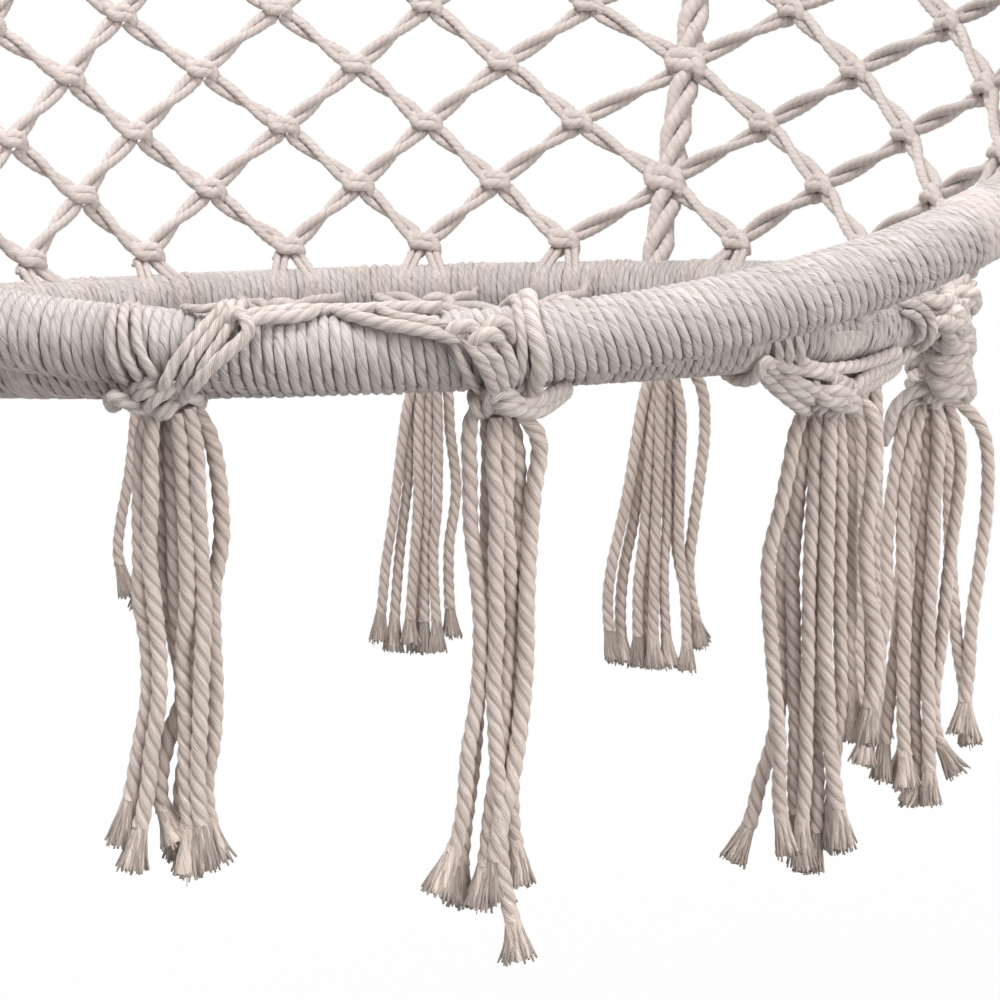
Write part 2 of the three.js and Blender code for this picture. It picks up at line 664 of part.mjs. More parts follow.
function tasselStrand(neck, index, length) {
  const turn = index * GOLDEN_ANGLE;
  const ring = Math.sqrt((index + 0.5) / STRAND_COUNT);
  const outward = new THREE.Vector3(Math.cos(turn), Math.sin(turn), 0);
  const cutOrder = (index * 3) % STRAND_COUNT;
  const cut = THREE.MathUtils.lerp(SHORTEST_STRAND_SHARE, 1, cutOrder / (STRAND_COUNT - 1));
  const root = (NECK_DIAMETER / 2 - TASSEL_CORD / 2) * STRAND_ROOT_SHARE * ring;
  const points = pathPoints(STRAND_STEPS, (share) => {
    const reach = THREE.MathUtils.lerp(root, TASSEL_SPREAD * ring, Math.sin((share * Math.PI) / 2));
    return neck.clone().addScaledVector(outward, reach).addScaledVector(up, -length * cut * share);
  });
  return toSolid(cordAlong(points, TASSEL_CORD, STRAND_SIDES));
}

function tassel(name, knotPlace, lengthShare) {
  const neckDrop = (KNOT_HEIGHT + NECK_DIAMETER) / 2 + SEAT_GAP;
  const neck = knotPlace.clone().addScaledVector(up, -neckDrop);
  const solids = [toSolid(ball(NECK_DIAMETER, NECK_DIAMETER, NECK_DIAMETER).translate(...neck))];
  for (let index = 0; index < STRAND_COUNT; index += 1) {
    solids.push(tasselStrand(neck, index, TASSEL_LENGTH * lengthShare));
  }
  return namedMesh(name, toGeometry(union(solids)), cotton);
}

const model = new THREE.Group();
model.add(hangRing(), ...[0, 1, 2, 3].map(hangingCord), collarWinding(), ...suspensionRopes());
model.add(ringTube("back_ring_tube", backRing), ringWinding("back_ring_winding", backRing));
model.add(ringTube("seat_ring_tube", seatRing), ringWinding("seat_ring_winding", seatRing));
model.add(backNet(), ...ringLinks(), seatNet(), frontCord());
Object.entries(LASHINGS).forEach(([side, { angle, lengthShare }]) => {
  model.add(frontLashing(`lashing_${side}`, angle));
  model.add(tassel(`tassel_${side}`, lashingKnotPlace(angle), lengthShare));
});
Object.entries(TIES).forEach(([side, tie]) => {
  model.add(tasselTie(`tie_${side}`, tie));
  model.add(tassel(`tassel_${side}`, tieKnotPlace(tie), tie.lengthShare));
});

export default model;
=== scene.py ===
# Round hammock chair of knotted natural cotton cord, hung from one small steel ring.
# Metres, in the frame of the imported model: +Z up, and the sitter faces -Y.
import math

import bmesh
import bpy
import numpy as np
from mathutils import Matrix, Vector


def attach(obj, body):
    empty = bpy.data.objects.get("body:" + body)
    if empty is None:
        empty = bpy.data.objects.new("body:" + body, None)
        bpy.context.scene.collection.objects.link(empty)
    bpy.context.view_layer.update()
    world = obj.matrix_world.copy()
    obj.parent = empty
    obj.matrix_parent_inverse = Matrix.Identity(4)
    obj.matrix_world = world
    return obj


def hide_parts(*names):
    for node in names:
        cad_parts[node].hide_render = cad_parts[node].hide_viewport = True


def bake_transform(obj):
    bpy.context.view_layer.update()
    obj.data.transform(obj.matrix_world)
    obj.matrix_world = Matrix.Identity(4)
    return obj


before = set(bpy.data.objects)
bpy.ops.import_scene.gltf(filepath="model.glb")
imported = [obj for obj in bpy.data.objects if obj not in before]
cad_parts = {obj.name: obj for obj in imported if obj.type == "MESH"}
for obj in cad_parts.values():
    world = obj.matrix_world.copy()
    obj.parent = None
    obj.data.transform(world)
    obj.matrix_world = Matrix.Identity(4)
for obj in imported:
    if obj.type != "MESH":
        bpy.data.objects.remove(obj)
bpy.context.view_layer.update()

# Camera: a long lens held low and close before the front edge of the seat,
# so that only the front of the two rings, their fringe and the net behind fill the view.
EYE = Vector((-0.0399, -1.4351, -0.8805))
EYE_YAW, EYE_PITCH, EYE_ROLL = 0.0758, 0.1285, 0.0294
EYE_LENS = 93.09
ahead = Vector((
    math.sin(EYE_YAW) * math.cos(EYE_PITCH),
    math.cos(EYE_YAW) * math.cos(EYE_PITCH),
    -math.sin(EYE_PITCH),
))
level = Vector((math.cos(EYE_YAW), -math.sin(EYE_YAW), 0))
below = ahead.cross(level)
right = level * math.cos(EYE_ROLL) + below * math.sin(EYE_ROLL)
down = below * math.cos(EYE_ROLL) - level * math.sin(EYE_ROLL)
camera = bpy.data.objects.new("camera", bpy.data.cameras.new("camera"))
camera.data.sensor_width = 36
camera.data.lens = EYE_LENS
camera.data.clip_end = 50
camera.matrix_world = Matrix((
    (right.x, -down.x, -ahead.x, EYE.x),
    (right.y, -down.y, -ahead.y, EYE.y),
    (right.z, -down.z, -ahead.z, EYE.z),
    (0, 0, 0, 1),
))
bpy.context.scene.collection.objects.link(camera)
bpy.context.scene.camera = camera


# Hanging ring: one welded ring of steel wire, zinc-plated, that drops over a hook.
# The weld shows as a low bead at one side.
def inlet_of(node, key):
    """A node's input by its number, as in i3, or by its name with _ for each space."""
    return node.inputs[int(key[1:])] if key[1:].isdigit() else node.inputs[key.replace("_", " ")]


class Surface:
    """One socket of a shader tree, with the operators that the finishes below use."""

    def __init__(self, tree, socket):
        self.tree = tree
        self.socket = socket

    def node(self, kind, settings=(), outlet=0, **inlets):
        """Adds a node: its settings first, then the values or links of its inputs."""
        made = self.tree.nodes.new(kind)
        for key, value in dict(settings).items():
            setattr(made, key, value)
        for key, value in inlets.items():
            inlet = inlet_of(made, key)
            if isinstance(value, Surface):
                self.tree.links.new(value.socket, inlet)
            else:
                inlet.default_value = value
        return Surface(self.tree, made.outputs[outlet])

    def work(self, operation, first, second=0.0):
        """One Math node."""
        return self.node("ShaderNodeMath", {"operation": operation}, i0=first, i1=second)

    def __add__(self, other):
        return self.work("ADD", self, other)

    def __mul__(self, other):
        return self.work("MULTIPLY", self, other)

    def __rsub__(self, other):
        return self.work("SUBTRACT", other, self)

    def __sub__(self, other):
        return self.work("SUBTRACT", self, other)

    __radd__ = __add__
    __rmul__ = __mul__

    def spread(self, low, high):
        """Maps low..high to 0..1, held at both ends."""
        return self.node("ShaderNodeMapRange", i0=self, i1=low, i2=high)

    def blend(self, first, second):
        """Mixes two colours, with this value as the factor."""
        mix = self.node("ShaderNodeMix", {"data_type": "RGBA"}, i0=self, i6=first, i7=second)
        return Surface(self.tree, mix.socket.node.outputs[2])


def new_finish(name, roughness, metallic=0.0):
    material = bpy.data.materials.new(name)
    material.use_nodes = True
    shader = material.node_tree.nodes["Principled BSDF"]
    shader.inputs["Roughness"].default_value = roughness
    shader.inputs["Metallic"].default_value = metallic
    return material, shader, Surface(material.node_tree, None)


def connect(value, shader, inlet):
    value.tree.links.new(value.socket, shader.inputs[inlet])


def zinc_plated_steel(name, dull, bright):
    """Plated steel: faint crystal patches, and dull spots where the plating has aged."""
    material, shader, start = new_finish(name, 0.35, 1.0)
    place = start.node("ShaderNodeTexCoord", outlet=3)
    patches = start.node("ShaderNodeTexVoronoi", Vector=place, Scale=260.0)
    aged = start.node("ShaderNodeTexNoise", Vector=place, Scale=90.0, Detail=6.0)
    connect((patches * 0.5 + aged * 0.7).spread(0.2, 0.9).blend(bright, dull), shader, "Base Color")
    connect(aged * 0.3 + 0.22, shader, "Roughness")
    bump = start.node("ShaderNodeBump", Strength=0.3, Distance=0.0001, Height=aged)
    connect(bump, shader, "Normal")
    return material


def piece_from(name, vertices, faces, material, smooth=True):
    mesh = bpy.data.meshes.new(name)
    mesh.from_pydata([tuple(v) for v in vertices], [], faces)
    mesh.materials.append(material)
    mesh.shade_smooth() if smooth else mesh.shade_flat()
    made = bpy.data.objects.new(name, mesh)
    bpy.context.scene.collection.objects.link(made)
    return made


HANG_RING_DROP = 0.032
HANG_RING_MIDDLE = Vector((0, 0, -HANG_RING_DROP))
HANG_RING_RADIUS = 0.0365
HANG_WIRE_RADIUS = 0.0045
WELD_RAISE = 0.0004
WELD_SPAN = 0.11
WELD_RIPPLE, WELD_RIPPLES = 0.35, 9
bright_wire = zinc_plated_steel("bright_wire", (0.42, 0.42, 0.43, 1), (0.68, 0.68, 0.69, 1))

RING_STEPS, WIRE_STEPS = 128, 24
ring_vertices, ring_faces = [], []
for step in range(RING_STEPS):
    turn = 2 * math.pi * step / RING_STEPS
    weld = WELD_RAISE * math.exp(-(((turn - math.pi / 2) / WELD_SPAN) ** 2))
    weld *= 1 + WELD_RIPPLE * math.sin(WELD_RIPPLES * turn / WELD_SPAN)
    for side in range(WIRE_STEPS):
        around = 2 * math.pi * side / WIRE_STEPS
        reach = HANG_RING_RADIUS + (HANG_WIRE_RADIUS + weld) * math.cos(around)
        ring_vertices.append(HANG_RING_MIDDLE + Vector((
            reach * math.sin(turn),
            (HANG_WIRE_RADIUS + weld) * math.sin(around),
            reach * math.cos(turn),
        )))
        after, beside = (step + 1) % RING_STEPS, (side + 1) % WIRE_STEPS
        ring_faces.append((
            step * WIRE_STEPS + side,
            step * WIRE_STEPS + beside,
            after * WIRE_STEPS + beside,
            after * WIRE_STEPS + side,
        ))
hanging_ring = piece_from("hanging_ring", ring_vertices, ring_faces, bright_wire)
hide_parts("hang_ring")
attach(hanging_ring, "hanger")


# Hanging cords: four ropes of three-ply natural cotton, folded over the lower wire of the ring.
# Every cord of the chair is laid the same way: plies that turn round each other along its path.
def cord_maker():
    """Sweeps a lobed section along each line, and turns it so that the lobes become plies."""
    tree = bpy.data.node_groups.new("laid_cord", "GeometryNodeTree")
    face = tree.interface
    face.new_socket("Geometry", in_out="INPUT", socket_type="NodeSocketGeometry")
    for name in ("Diameter", "Turn Length", "Plies", "Ply Depth"):
        face.new_socket(name, in_out="INPUT", socket_type="NodeSocketFloat")
    face.new_socket("Sides", in_out="INPUT", socket_type="NodeSocketInt")
    face.new_socket("Material", in_out="INPUT", socket_type="NodeSocketMaterial")
    face.new_socket("Geometry", in_out="OUTPUT", socket_type="NodeSocketGeometry")
    given = tree.nodes.new("NodeGroupInput")
    result = tree.nodes.new("NodeGroupOutput")

    def add(kind, settings=(), **inlets):
        made = tree.nodes.new(kind)
        for key, value in dict(settings).items():
            setattr(made, key, value)
        for key, value in inlets.items():
            inlet = inlet_of(made, key)
            if isinstance(value, bpy.types.NodeSocket):
                tree.links.new(value, inlet)
            else:
                inlet.default_value = value
        return made.outputs[0]

    def work(operation, first, second=0.0):
        return add("ShaderNodeMath", {"operation": operation}, i0=first, i1=second)

    line = add("GeometryNodeMeshToCurve", Mesh=given.outputs["Geometry"])
    length = add("GeometryNodeSplineParameter").node.outputs["Length"]
    stored = {"data_type": "FLOAT", "domain": "POINT"}
    line = add("GeometryNodeStoreNamedAttribute", stored, Geometry=line, Name="along", Value=length)
    phase = add("GeometryNodeInputNamedAttribute", {"data_type": "FLOAT"}, Name="phase")
    girth = add("GeometryNodeInputNamedAttribute", {"data_type": "FLOAT"}, Name="girth")
    turns = work("DIVIDE", length, given.outputs["Turn Length"])
    tilt = work("ADD", work("MULTIPLY", turns, -2 * math.pi), phase)
    line = add("GeometryNodeSetCurveTilt", Curve=line, Tilt=tilt)

    circle = add("GeometryNodeCurvePrimitiveCircle", Resolution=given.outputs["Sides"], Radius=1.0)
    spot = add("GeometryNodeInputPosition")
    stored = {"data_type": "FLOAT_VECTOR", "domain": "POINT"}
    circle = add("GeometryNodeStoreNamedAttribute", stored, Geometry=circle, Name="round", Value=spot)
    parts = add("ShaderNodeSeparateXYZ", Vector=spot).node.outputs
    around = work("ARCTAN2", parts[1], parts[0])
    lobes = work("COSINE", work("MULTIPLY", around, given.outputs["Plies"]))
    depth = given.outputs["Ply Depth"]
    reach = work("ADD", work("SUBTRACT", 1.0, depth), work("MULTIPLY", lobes, depth))
    reach = work("MULTIPLY", reach, work("MULTIPLY", given.outputs["Diameter"], 0.5))
    moved = add("ShaderNodeVectorMath", {"operation": "SCALE"}, Vector=spot, Scale=reach)
    circle = add("GeometryNodeSetPosition", Geometry=circle, Position=moved)

    skin = add("GeometryNodeCurveToMesh", Curve=line, Profile_Curve=circle, Scale=girth, Fill_Caps=True)
    skin = add("GeometryNodeSetShadeSmooth", Geometry=skin)
    skin = add("GeometryNodeRealizeInstances", Geometry=skin)
    skin = add("GeometryNodeSetMaterial", Geometry=skin, Material=given.outputs["Material"])
    tree.links.new(skin, result.inputs[0])
    return tree


laid_cord = cord_maker()
PLIES = 3
PHASE_STEP = 2.4


def lay_cords(name, lines, material, diameter, turn_length, plies=PLIES, ply_depth=0.07, sides=12):
    """Makes one mesh of all the cords on these lines. A line is its points, or its points and
    its girth, which is a share of the diameter: one for the whole line or one for each point."""
    vertices, edges, girths, phases = [], [], [], []
    for order, line in enumerate(lines):
        points, girth = line if isinstance(line, tuple) else (line, 1.0)
        first = len(vertices)
        vertices.extend(map(tuple, points))
        edges.extend((first + step, first + step + 1) for step in range(len(points) - 1))
        girths.extend(np.full(len(points), girth))
        phases.extend([order * PHASE_STEP] * len(points))
    mesh = bpy.data.meshes.new(name)
    mesh.from_pydata(vertices, edges, [])
    for key, values in (("girth", girths), ("phase", phases)):
        mesh.attributes.new(key, "FLOAT", "POINT").data.foreach_set("value", values)
    guide = bpy.data.objects.new(name + "_lines", mesh)
    bpy.context.scene.collection.objects.link(guide)
    modifier = guide.modifiers.new("laid", "NODES")
    modifier.node_group = laid_cord
    settings = {
        "Diameter": diameter,
        "Turn Length": turn_length,
        "Plies": float(plies),
        "Ply Depth": ply_depth,
        "Sides": sides,
        "Material": material,
    }
    for item in laid_cord.interface.items_tree:
        if item.in_out == "INPUT" and item.name in settings:
            modifier[item.identifier] = settings[item.name]
    guide.update_tag()
    depsgraph = bpy.context.evaluated_depsgraph_get()
    skin = bpy.data.meshes.new_from_object(guide.evaluated_get(depsgraph))
    skin.name = name
    bpy.data.objects.remove(guide)
    bpy.data.meshes.remove(mesh)
    made = bpy.data.objects.new(name, skin)
    bpy.context.scene.collection.objects.link(made)
    return made


COTTON_ROUGHNESS = 0.92
PATCH_SCALE = 28.0
FIBRES_ALONG, FIBRES_ROUND = 120.0, 4.0
YARNS_IN_PLY = 5
YARN_TURN, YARN_WANDER = 260.0, 9.0
PLY_WANDER = 7.0
# Painted shade in the grooves between plies, as a share of the shade colour.
PAINTED_GROOVE_SHADE = (0.55, 0.50, 0.46)
# Painted shade in the gaps between turns wound on a ring: its colour, the depths under the turns where it
# starts and where it is full, and how much its edge wanders.
GAP_PAINTED_SHADE = (0.2, 0.155, 0.13, 1)
GAP_TOP, GAP_FLOOR = 0.0006, 0.0014
GAP_SHADE_JITTER = 0.0022
PLY_RELIEF = 0.00045
FIBRE_RELIEF = 0.0006


def natural_cotton(name, light, shade, groove_shade_share=0.5, turn_length=None, wound_on=None):
    """Undyed cotton: pale and dark fibre streaks along each ply, partly own tone and partly painted shade,
    painted shade in the grooves between plies and between yarns, and patches.
    Where the plies aren't in the mesh, turn_length draws them as grooves that wind. Where the cord
    is wound on a ring, wound_on is the height of its turns, and the gaps between them get painted shade."""
    material, shader, start = new_finish(name, COTTON_ROUGHNESS)
    shader.inputs["Specular IOR Level"].default_value = 0.2
    shader.inputs["Sheen Weight"].default_value = 0.2
    shader.inputs["Sheen Roughness"].default_value = 0.6
    along = start.node("ShaderNodeAttribute", {"attribute_name": "along"}, outlet=2)
    ring = start.node("ShaderNodeAttribute", {"attribute_name": "round"}, outlet=1)
    parts = start.node("ShaderNodeSeparateXYZ", Vector=ring).socket.node.outputs
    across = [Surface(material.node_tree, part) for part in parts]
    place = start.node("ShaderNodeTexCoord", outlet=3)
    patches = start.node("ShaderNodeTexNoise", Vector=place, Scale=PATCH_SCALE, Detail=3.0)
    around = start.work("ARCTAN2", across[1], across[0])
    if turn_length:
        around = around + along * (2 * math.pi / turn_length) + patches * PLY_WANDER
    crest = start.work("COSINE", around * PLIES)
    groove = start.work("POWER", crest * -0.5 + 0.5, 4.0)
    ply_place = start.node(
        "ShaderNodeCombineXYZ",
        X=along * FIBRES_ALONG,
        Y=start.work("COSINE", around) * FIBRES_ROUND,
        Z=start.work("SINE", around) * FIBRES_ROUND,
    )
    threads = start.node("ShaderNodeTexNoise", Vector=ply_place, Scale=1.0, Detail=4.0, Roughness=0.7)
    yarn_turn = around * (PLIES * YARNS_IN_PLY) + along * YARN_TURN + threads * YARN_WANDER
    yarns = start.work("POWER", start.work("COSINE", yarn_turn) * -0.5 + 0.5, 2.0)
    # Fibre streaks, partly the cotton's own tone and partly painted shade between threads; painted shade in
    # the lines between yarns; patches of the cotton's own tone.
    mixed = threads.spread(0.4, 0.6) * 0.6 + patches.spread(0.3, 0.7) * 0.2 + (1 - yarns) * 0.2
    # Painted shade in the grooves between plies, in a darker copy of the shade colour.
    painted_groove_colour = (*(part * share for part, share in zip(shade, PAINTED_GROOVE_SHADE)), 1)
    colour = (groove * groove_shade_share).blend(mixed.blend(shade, light), painted_groove_colour)
    # Painted shade in the gaps between the turns of a winding, where the surface lies deep.
    if wound_on:
        on_ring = start.node("ShaderNodeAttribute", {"attribute_name": "gap_shade_height"}, outlet=2)
        edge = on_ring + crest * PLY_RELIEF + threads * GAP_SHADE_JITTER - GAP_SHADE_JITTER / 2
        colour = edge.spread(wound_on - GAP_TOP, wound_on - GAP_FLOOR).blend(colour, GAP_PAINTED_SHADE)
    connect(colour, shader, "Base Color")
    height = threads * 1.6 - yarns * 0.4 + (1 - groove) * (0.7 if turn_length else 0.0)
    bump = start.node("ShaderNodeBump", Strength=1.0, Distance=FIBRE_RELIEF, Height=height)
    connect(bump, shader, "Normal")
    return material


def smooth_line(points, spacing):
    """A smooth line through the points, with steps of about the spacing."""
    points = np.array(points, float)
    ends = np.vstack([2 * points[0] - points[1], points, 2 * points[-1] - points[-2]])
    made = []
    for a, b, c, d in zip(ends, ends[1:], ends[2:], ends[3:]):
        steps = max(2, int(np.linalg.norm(c - b) / spacing))
        t = np.arange(steps)[:, None] / steps
        made.append(0.5 * (
            2 * b + (c - a) * t + (2 * a - 5 * b + 4 * c - d) * t**2 + (3 * b - a - 3 * c + d) * t**3
        ))
    return np.vstack(made + [points[-1:]])


CORD_STEP, ROPE_STEP, FOLD_STEP = 0.0025, 0.003, 0.0015
rope_cotton = natural_cotton("rope_cotton", (0.81, 0.725, 0.68, 1), (0.585, 0.50, 0.455, 1))
ROPE_DIAMETER = 0.008
ROPE_PITCH = 0.0086
ROPE_TURN = 0.027
BUNDLE_RADIUS = ROPE_PITCH / 2 / math.sin(math.pi / 8)
COLLAR_TOP, COLLAR_BOTTOM = -0.1125, -0.1585
SADDLE_REACH = 0.0277
SADDLE_RADIUS = 0.0103
SADDLE_STEPS = 6
BUNDLE_HEIGHTS = (COLLAR_BOTTOM, -0.136, COLLAR_TOP)


def bundle_place(index, z):
    """The middle of one of the eight legs in their round bundle, at this height."""
    turn = (index + 0.5) * math.pi / 4
    return (BUNDLE_RADIUS * math.sin(turn), -BUNDLE_RADIUS * math.cos(turn), z)


for order, (front_leg, back_leg) in enumerate(((6, 5), (7, 4), (0, 3), (1, 2))):
    x = (order - 1.5) * ROPE_PITCH
    saddle_z = -HANG_RING_DROP - math.sqrt(SADDLE_REACH**2 - x**2) - SADDLE_RADIUS
    route = [bundle_place(front_leg, z) for z in BUNDLE_HEIGHTS]
    for step in range(SADDLE_STEPS + 1):
        turn = math.pi * step / SADDLE_STEPS
        route.append((x, -SADDLE_RADIUS * math.cos(turn), saddle_z + SADDLE_RADIUS * math.sin(turn)))
    route += [bundle_place(back_leg, z) for z in reversed(BUNDLE_HEIGHTS)]
    line = smooth_line(route, FOLD_STEP)
    folded = lay_cords(f"folded_rope_{order + 1}", [line], rope_cotton, ROPE_DIAMETER, ROPE_TURN)
    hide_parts(f"hanging_cord_{order + 1}")
    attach(folded, "head")


# Collar: one thinner cotton cord, wound tight round the eight legs of the ropes
# in a close helix that holds them in a round bundle. Its turns press on each other.
COLLAR_CORD, COLLAR_CORD_PRESSED = 0.004, 0.0045
COLLAR_CORD_TURN = 0.014
COLLAR_PITCH = 0.0046
COLLAR_TURNS, COLLAR_STEPS = 9, 40
collar_radius = BUNDLE_RADIUS + (ROPE_DIAMETER + COLLAR_CORD) / 2 + 0.0007
collar_start = COLLAR_BOTTOM + (COLLAR_TOP - COLLAR_BOTTOM - COLLAR_TURNS * COLLAR_PITCH) / 2
collar_route = []
for step in range(COLLAR_TURNS * COLLAR_STEPS + 1):
    turn = 2 * math.pi * step / COLLAR_STEPS
    z = collar_start + COLLAR_PITCH * step / COLLAR_STEPS
    collar_route.append((collar_radius * math.cos(turn), collar_radius * math.sin(turn), z))
collar = lay_cords(
    "collar", [collar_route], rope_cotton, COLLAR_CORD_PRESSED, COLLAR_CORD_TURN, ply_depth=0.06
)
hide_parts("collar_winding")
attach(collar, "head")


# Rings: two hoops of steel tube, hidden under a cotton cord wound close round each.
# The seat ring is level, and the larger back ring rises from its front towards the back.
class Hoop:
    """A ring of wound tube. Angles count in degrees from the front towards +X."""

    def __init__(self, radius, tilt, front):
        self.radius = radius
        self.tilt = math.radians(tilt)
        self.normal = np.array([0, -math.sin(self.tilt), math.cos(self.tilt)])
        self.back = np.array([0, math.cos(self.tilt), math.sin(self.tilt)])
        self.centre = np.array(front) + radius * self.back

    def outward(self, angle):
        turn = math.radians(angle)
        return np.array([math.sin(turn), 0, 0]) - math.cos(turn) * self.back

    def middle(self, angle):
        return self.centre + self.radius * self.outward(angle)

    def surface(self, angle, section, lift, shift=0.0):
        """A place round the tube: section 0 is outward and 90 is up, shift is along the tube."""
        outward = self.outward(angle)
        along = np.cross(self.normal, outward)
        turn = math.radians(section)
        spoke = math.cos(turn) * outward + math.sin(turn) * self.normal
        return self.middle(angle) + lift * spoke + shift * along


SEAT_RADIUS, BACK_RADIUS = 0.3, 0.4
SEAT_HEIGHT = -0.96
SEAT_FRONT = np.array([0, -0.325, SEAT_HEIGHT])
BACK_TILT = 22.6
WOUND = 0.0168
HOOP_SPACING = 0.0339
HOOP_RISE = math.radians(6)
to_back_front = HOOP_SPACING * np.array([0, -math.cos(HOOP_RISE), math.sin(HOOP_RISE)])
seat_hoop = Hoop(SEAT_RADIUS, 0, SEAT_FRONT)
back_hoop = Hoop(BACK_RADIUS, BACK_TILT, SEAT_FRONT + to_back_front)
hidden_steel = zinc_plated_steel("hidden_steel", (0.3, 0.3, 0.31, 1), (0.5, 0.5, 0.51, 1))
for node in ("back_ring_tube", "seat_ring_tube"):
    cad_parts[node].data.materials.clear()
    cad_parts[node].data.materials.append(hidden_steel)

WINDING_CORD, WINDING_CORD_PRESSED = 0.0043, 0.0056
WINDING_PITCH = 0.0046
WINDING_STEPS = 19
WINDING_SLIP, WINDING_RISE, WINDING_SWELL = 0.0003, 0.0002, 0.04
# How far the painted gap shade fades out on top of a ring: painted light from above.
WINDING_PAINTED_TOP_LIGHT = 0.0011
UNTURNED = 1e6
winding_cotton = natural_cotton(
    "winding_cotton",
    (0.75, 0.69, 0.672, 1),
    (0.42, 0.36, 0.33, 1),
    0.18,
    turn_length=0.0283,
    wound_on=WOUND,
)


def wander(generator, count, grain):
    """A smooth random walk about zero, of size one, that changes over so many steps."""
    knots = generator.uniform(-1, 1, count // grain + 3)
    return np.interp(np.arange(count) / grain, np.arange(len(knots)), knots)


def wind_hoop(name, hoop, node, body, lean, seed):
    """One cord in a close helix. lean gives how far each turn slants, by the angle on the ring.
    On top of the ring the painted shade in the gaps fades out, painted light where the light falls from
    above."""
    generator = np.random.default_rng(seed)
    turns = round(2 * math.pi * hoop.radius / WINDING_PITCH)
    count = turns * WINDING_STEPS
    slip = wander(generator, count + 1, 9) * WINDING_SLIP
    raised = wander(generator, count + 1, 13) * WINDING_RISE
    lift = WOUND - WINDING_CORD / 2 - 0.0004
    route = []
    for step in range(count + 1):
        angle = 180 + 360 * step / count
        section = -360 * step / WINDING_STEPS
        slant = np.interp((angle + 180) % 360 - 180, *lean) * -math.sin(math.radians(section))
        route.append(hoop.surface(angle, section, lift + raised[step], slip[step] + slant))
    girth = 1.0 + wander(generator, count + 1, 43) * WINDING_SWELL
    wound = lay_cords(
        name, [(route, girth)], winding_cotton, WINDING_CORD_PRESSED, UNTURNED, ply_depth=0.0, sides=8
    )
    places = np.array([vertex.co for vertex in wound.data.vertices]) - hoop.centre
    off_level = places @ hoop.normal
    reach = np.linalg.norm(places - off_level[:, None] * hoop.normal, axis=1)
    height = wound.data.attributes.new("gap_shade_height", "FLOAT", "POINT")
    # Painted light: the gap shade fades towards the top of the ring, where the light falls from above.
    painted_top_light = WINDING_PAINTED_TOP_LIGHT * np.clip(off_level / WOUND, 0, 1) ** 2
    height.data.foreach_set("value", np.hypot(reach - hoop.radius, off_level) + painted_top_light)
    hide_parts(node)
    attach(wound, body)


BACK_LEAN = ((-180, -90, -22, 6, 14, 60, 180), (0.0005, 0.0016, 0.0008, 0.0008, 0.0042, 0.0036, 0.0005))
SEAT_LEAN = ((-180, 180), (0.0006, 0.0006))
wind_hoop("back_hoop_winding", back_hoop, "back_ring_winding", "sling", BACK_LEAN, 3)
wind_hoop("seat_hoop_winding", seat_hoop, "seat_ring_winding", "seat", SEAT_LEAN, 4)


# Suspension ropes: eight cotton ropes that run from the collar to the back ring.
# Each is hitched round the ring by one and a half turns that lie side by side.
ROPE_ANGLES = (60, 82, 103.5, 137.5)
ROPE_DROP = 0.016
HITCH_TURN = 540
HITCH_WIDTH = 0.013
HITCH_STEPS = 23


def hitched_rope(name, angle, bundle_index):
    """A rope from its place in the bundle, straight to the ring and round it."""
    start = np.array(bundle_place(bundle_index, COLLAR_BOTTOM - 0.0003))
    leave = start - np.array([0, 0, ROPE_DROP])
    lift = WOUND + ROPE_DIAMETER / 2 + 0.0004
    pull = leave - back_hoop.middle(angle)
    heading = math.atan2(pull @ back_hoop.normal, pull @ back_hoop.outward(angle))
    meet = math.degrees(heading - math.acos(lift / np.linalg.norm(pull)))
    side = math.copysign(1, angle)
    route = [start, (start + leave) / 2, leave]
    first = back_hoop.surface(angle, meet, lift, -HITCH_WIDTH / 2 * side)
    route += [leave + (first - leave) * share for share in (0.25, 0.5, 0.75, 0.93)]
    for step in range(1, HITCH_STEPS + 1):
        share = step / HITCH_STEPS
        shift = (share - 0.5) * HITCH_WIDTH * side
        route.append(back_hoop.surface(angle, meet - HITCH_TURN * share, lift + 0.0004, shift))
    return lay_cords(name, [smooth_line(route, ROPE_STEP)], rope_cotton, ROPE_DIAMETER, ROPE_TURN)


for order, angle in enumerate(ROPE_ANGLES):
    for side, sign, leg in (("right", 1, order), ("left", -1, 7 - order)):
        rope = hitched_rope(f"hanging_rope_{side}_{order + 1}", sign * angle, leg)
        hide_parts(f"suspension_rope_{side}_{order + 1}")
        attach(rope, "sling")


# Back net: pairs of cotton cord that twist once between square knots, in slanting diamonds.
# Pairs are wound round the rings at their ends, and two thick twisted columns run between these.
NET_CORD = 0.0065
NET_TURN = 0.017
NET_ROW_RISE = 0.0395
EVEN_COLUMNS = (-94, -74.5, -57.5, -41, -25.5, -8, 8.5, 26.2, 50, 71.5, 93)
ODD_COLUMNS = (-83, -66, -49, -33, -17.2, 0.5, 17, 38.5, 60.5, 82)
SPINES = (-49, 38.5)
KNOT_SIZE, SPINE_KNOT_SIZE = 1.1, 1.5
KNOT_THREAD, TUCKED_THREAD = 1.06, 1.1
KNOT_LOOSE = 0.28
KNOT_STEP, TUCKED_STEP, PAIR_STEP = 0.0014, 0.002, 0.0024
PORTS = ((1, 1), (-1, 1), (-1, -1), (1, -1))
PORT_ACROSS, PORT_UP = 4.4, 3.6
net_cotton = natural_cotton("net_cotton", (0.80, 0.71, 0.673, 1), (0.645, 0.557, 0.515, 1), 0.25)


def unit(vector):
    return vector / np.linalg.norm(vector)


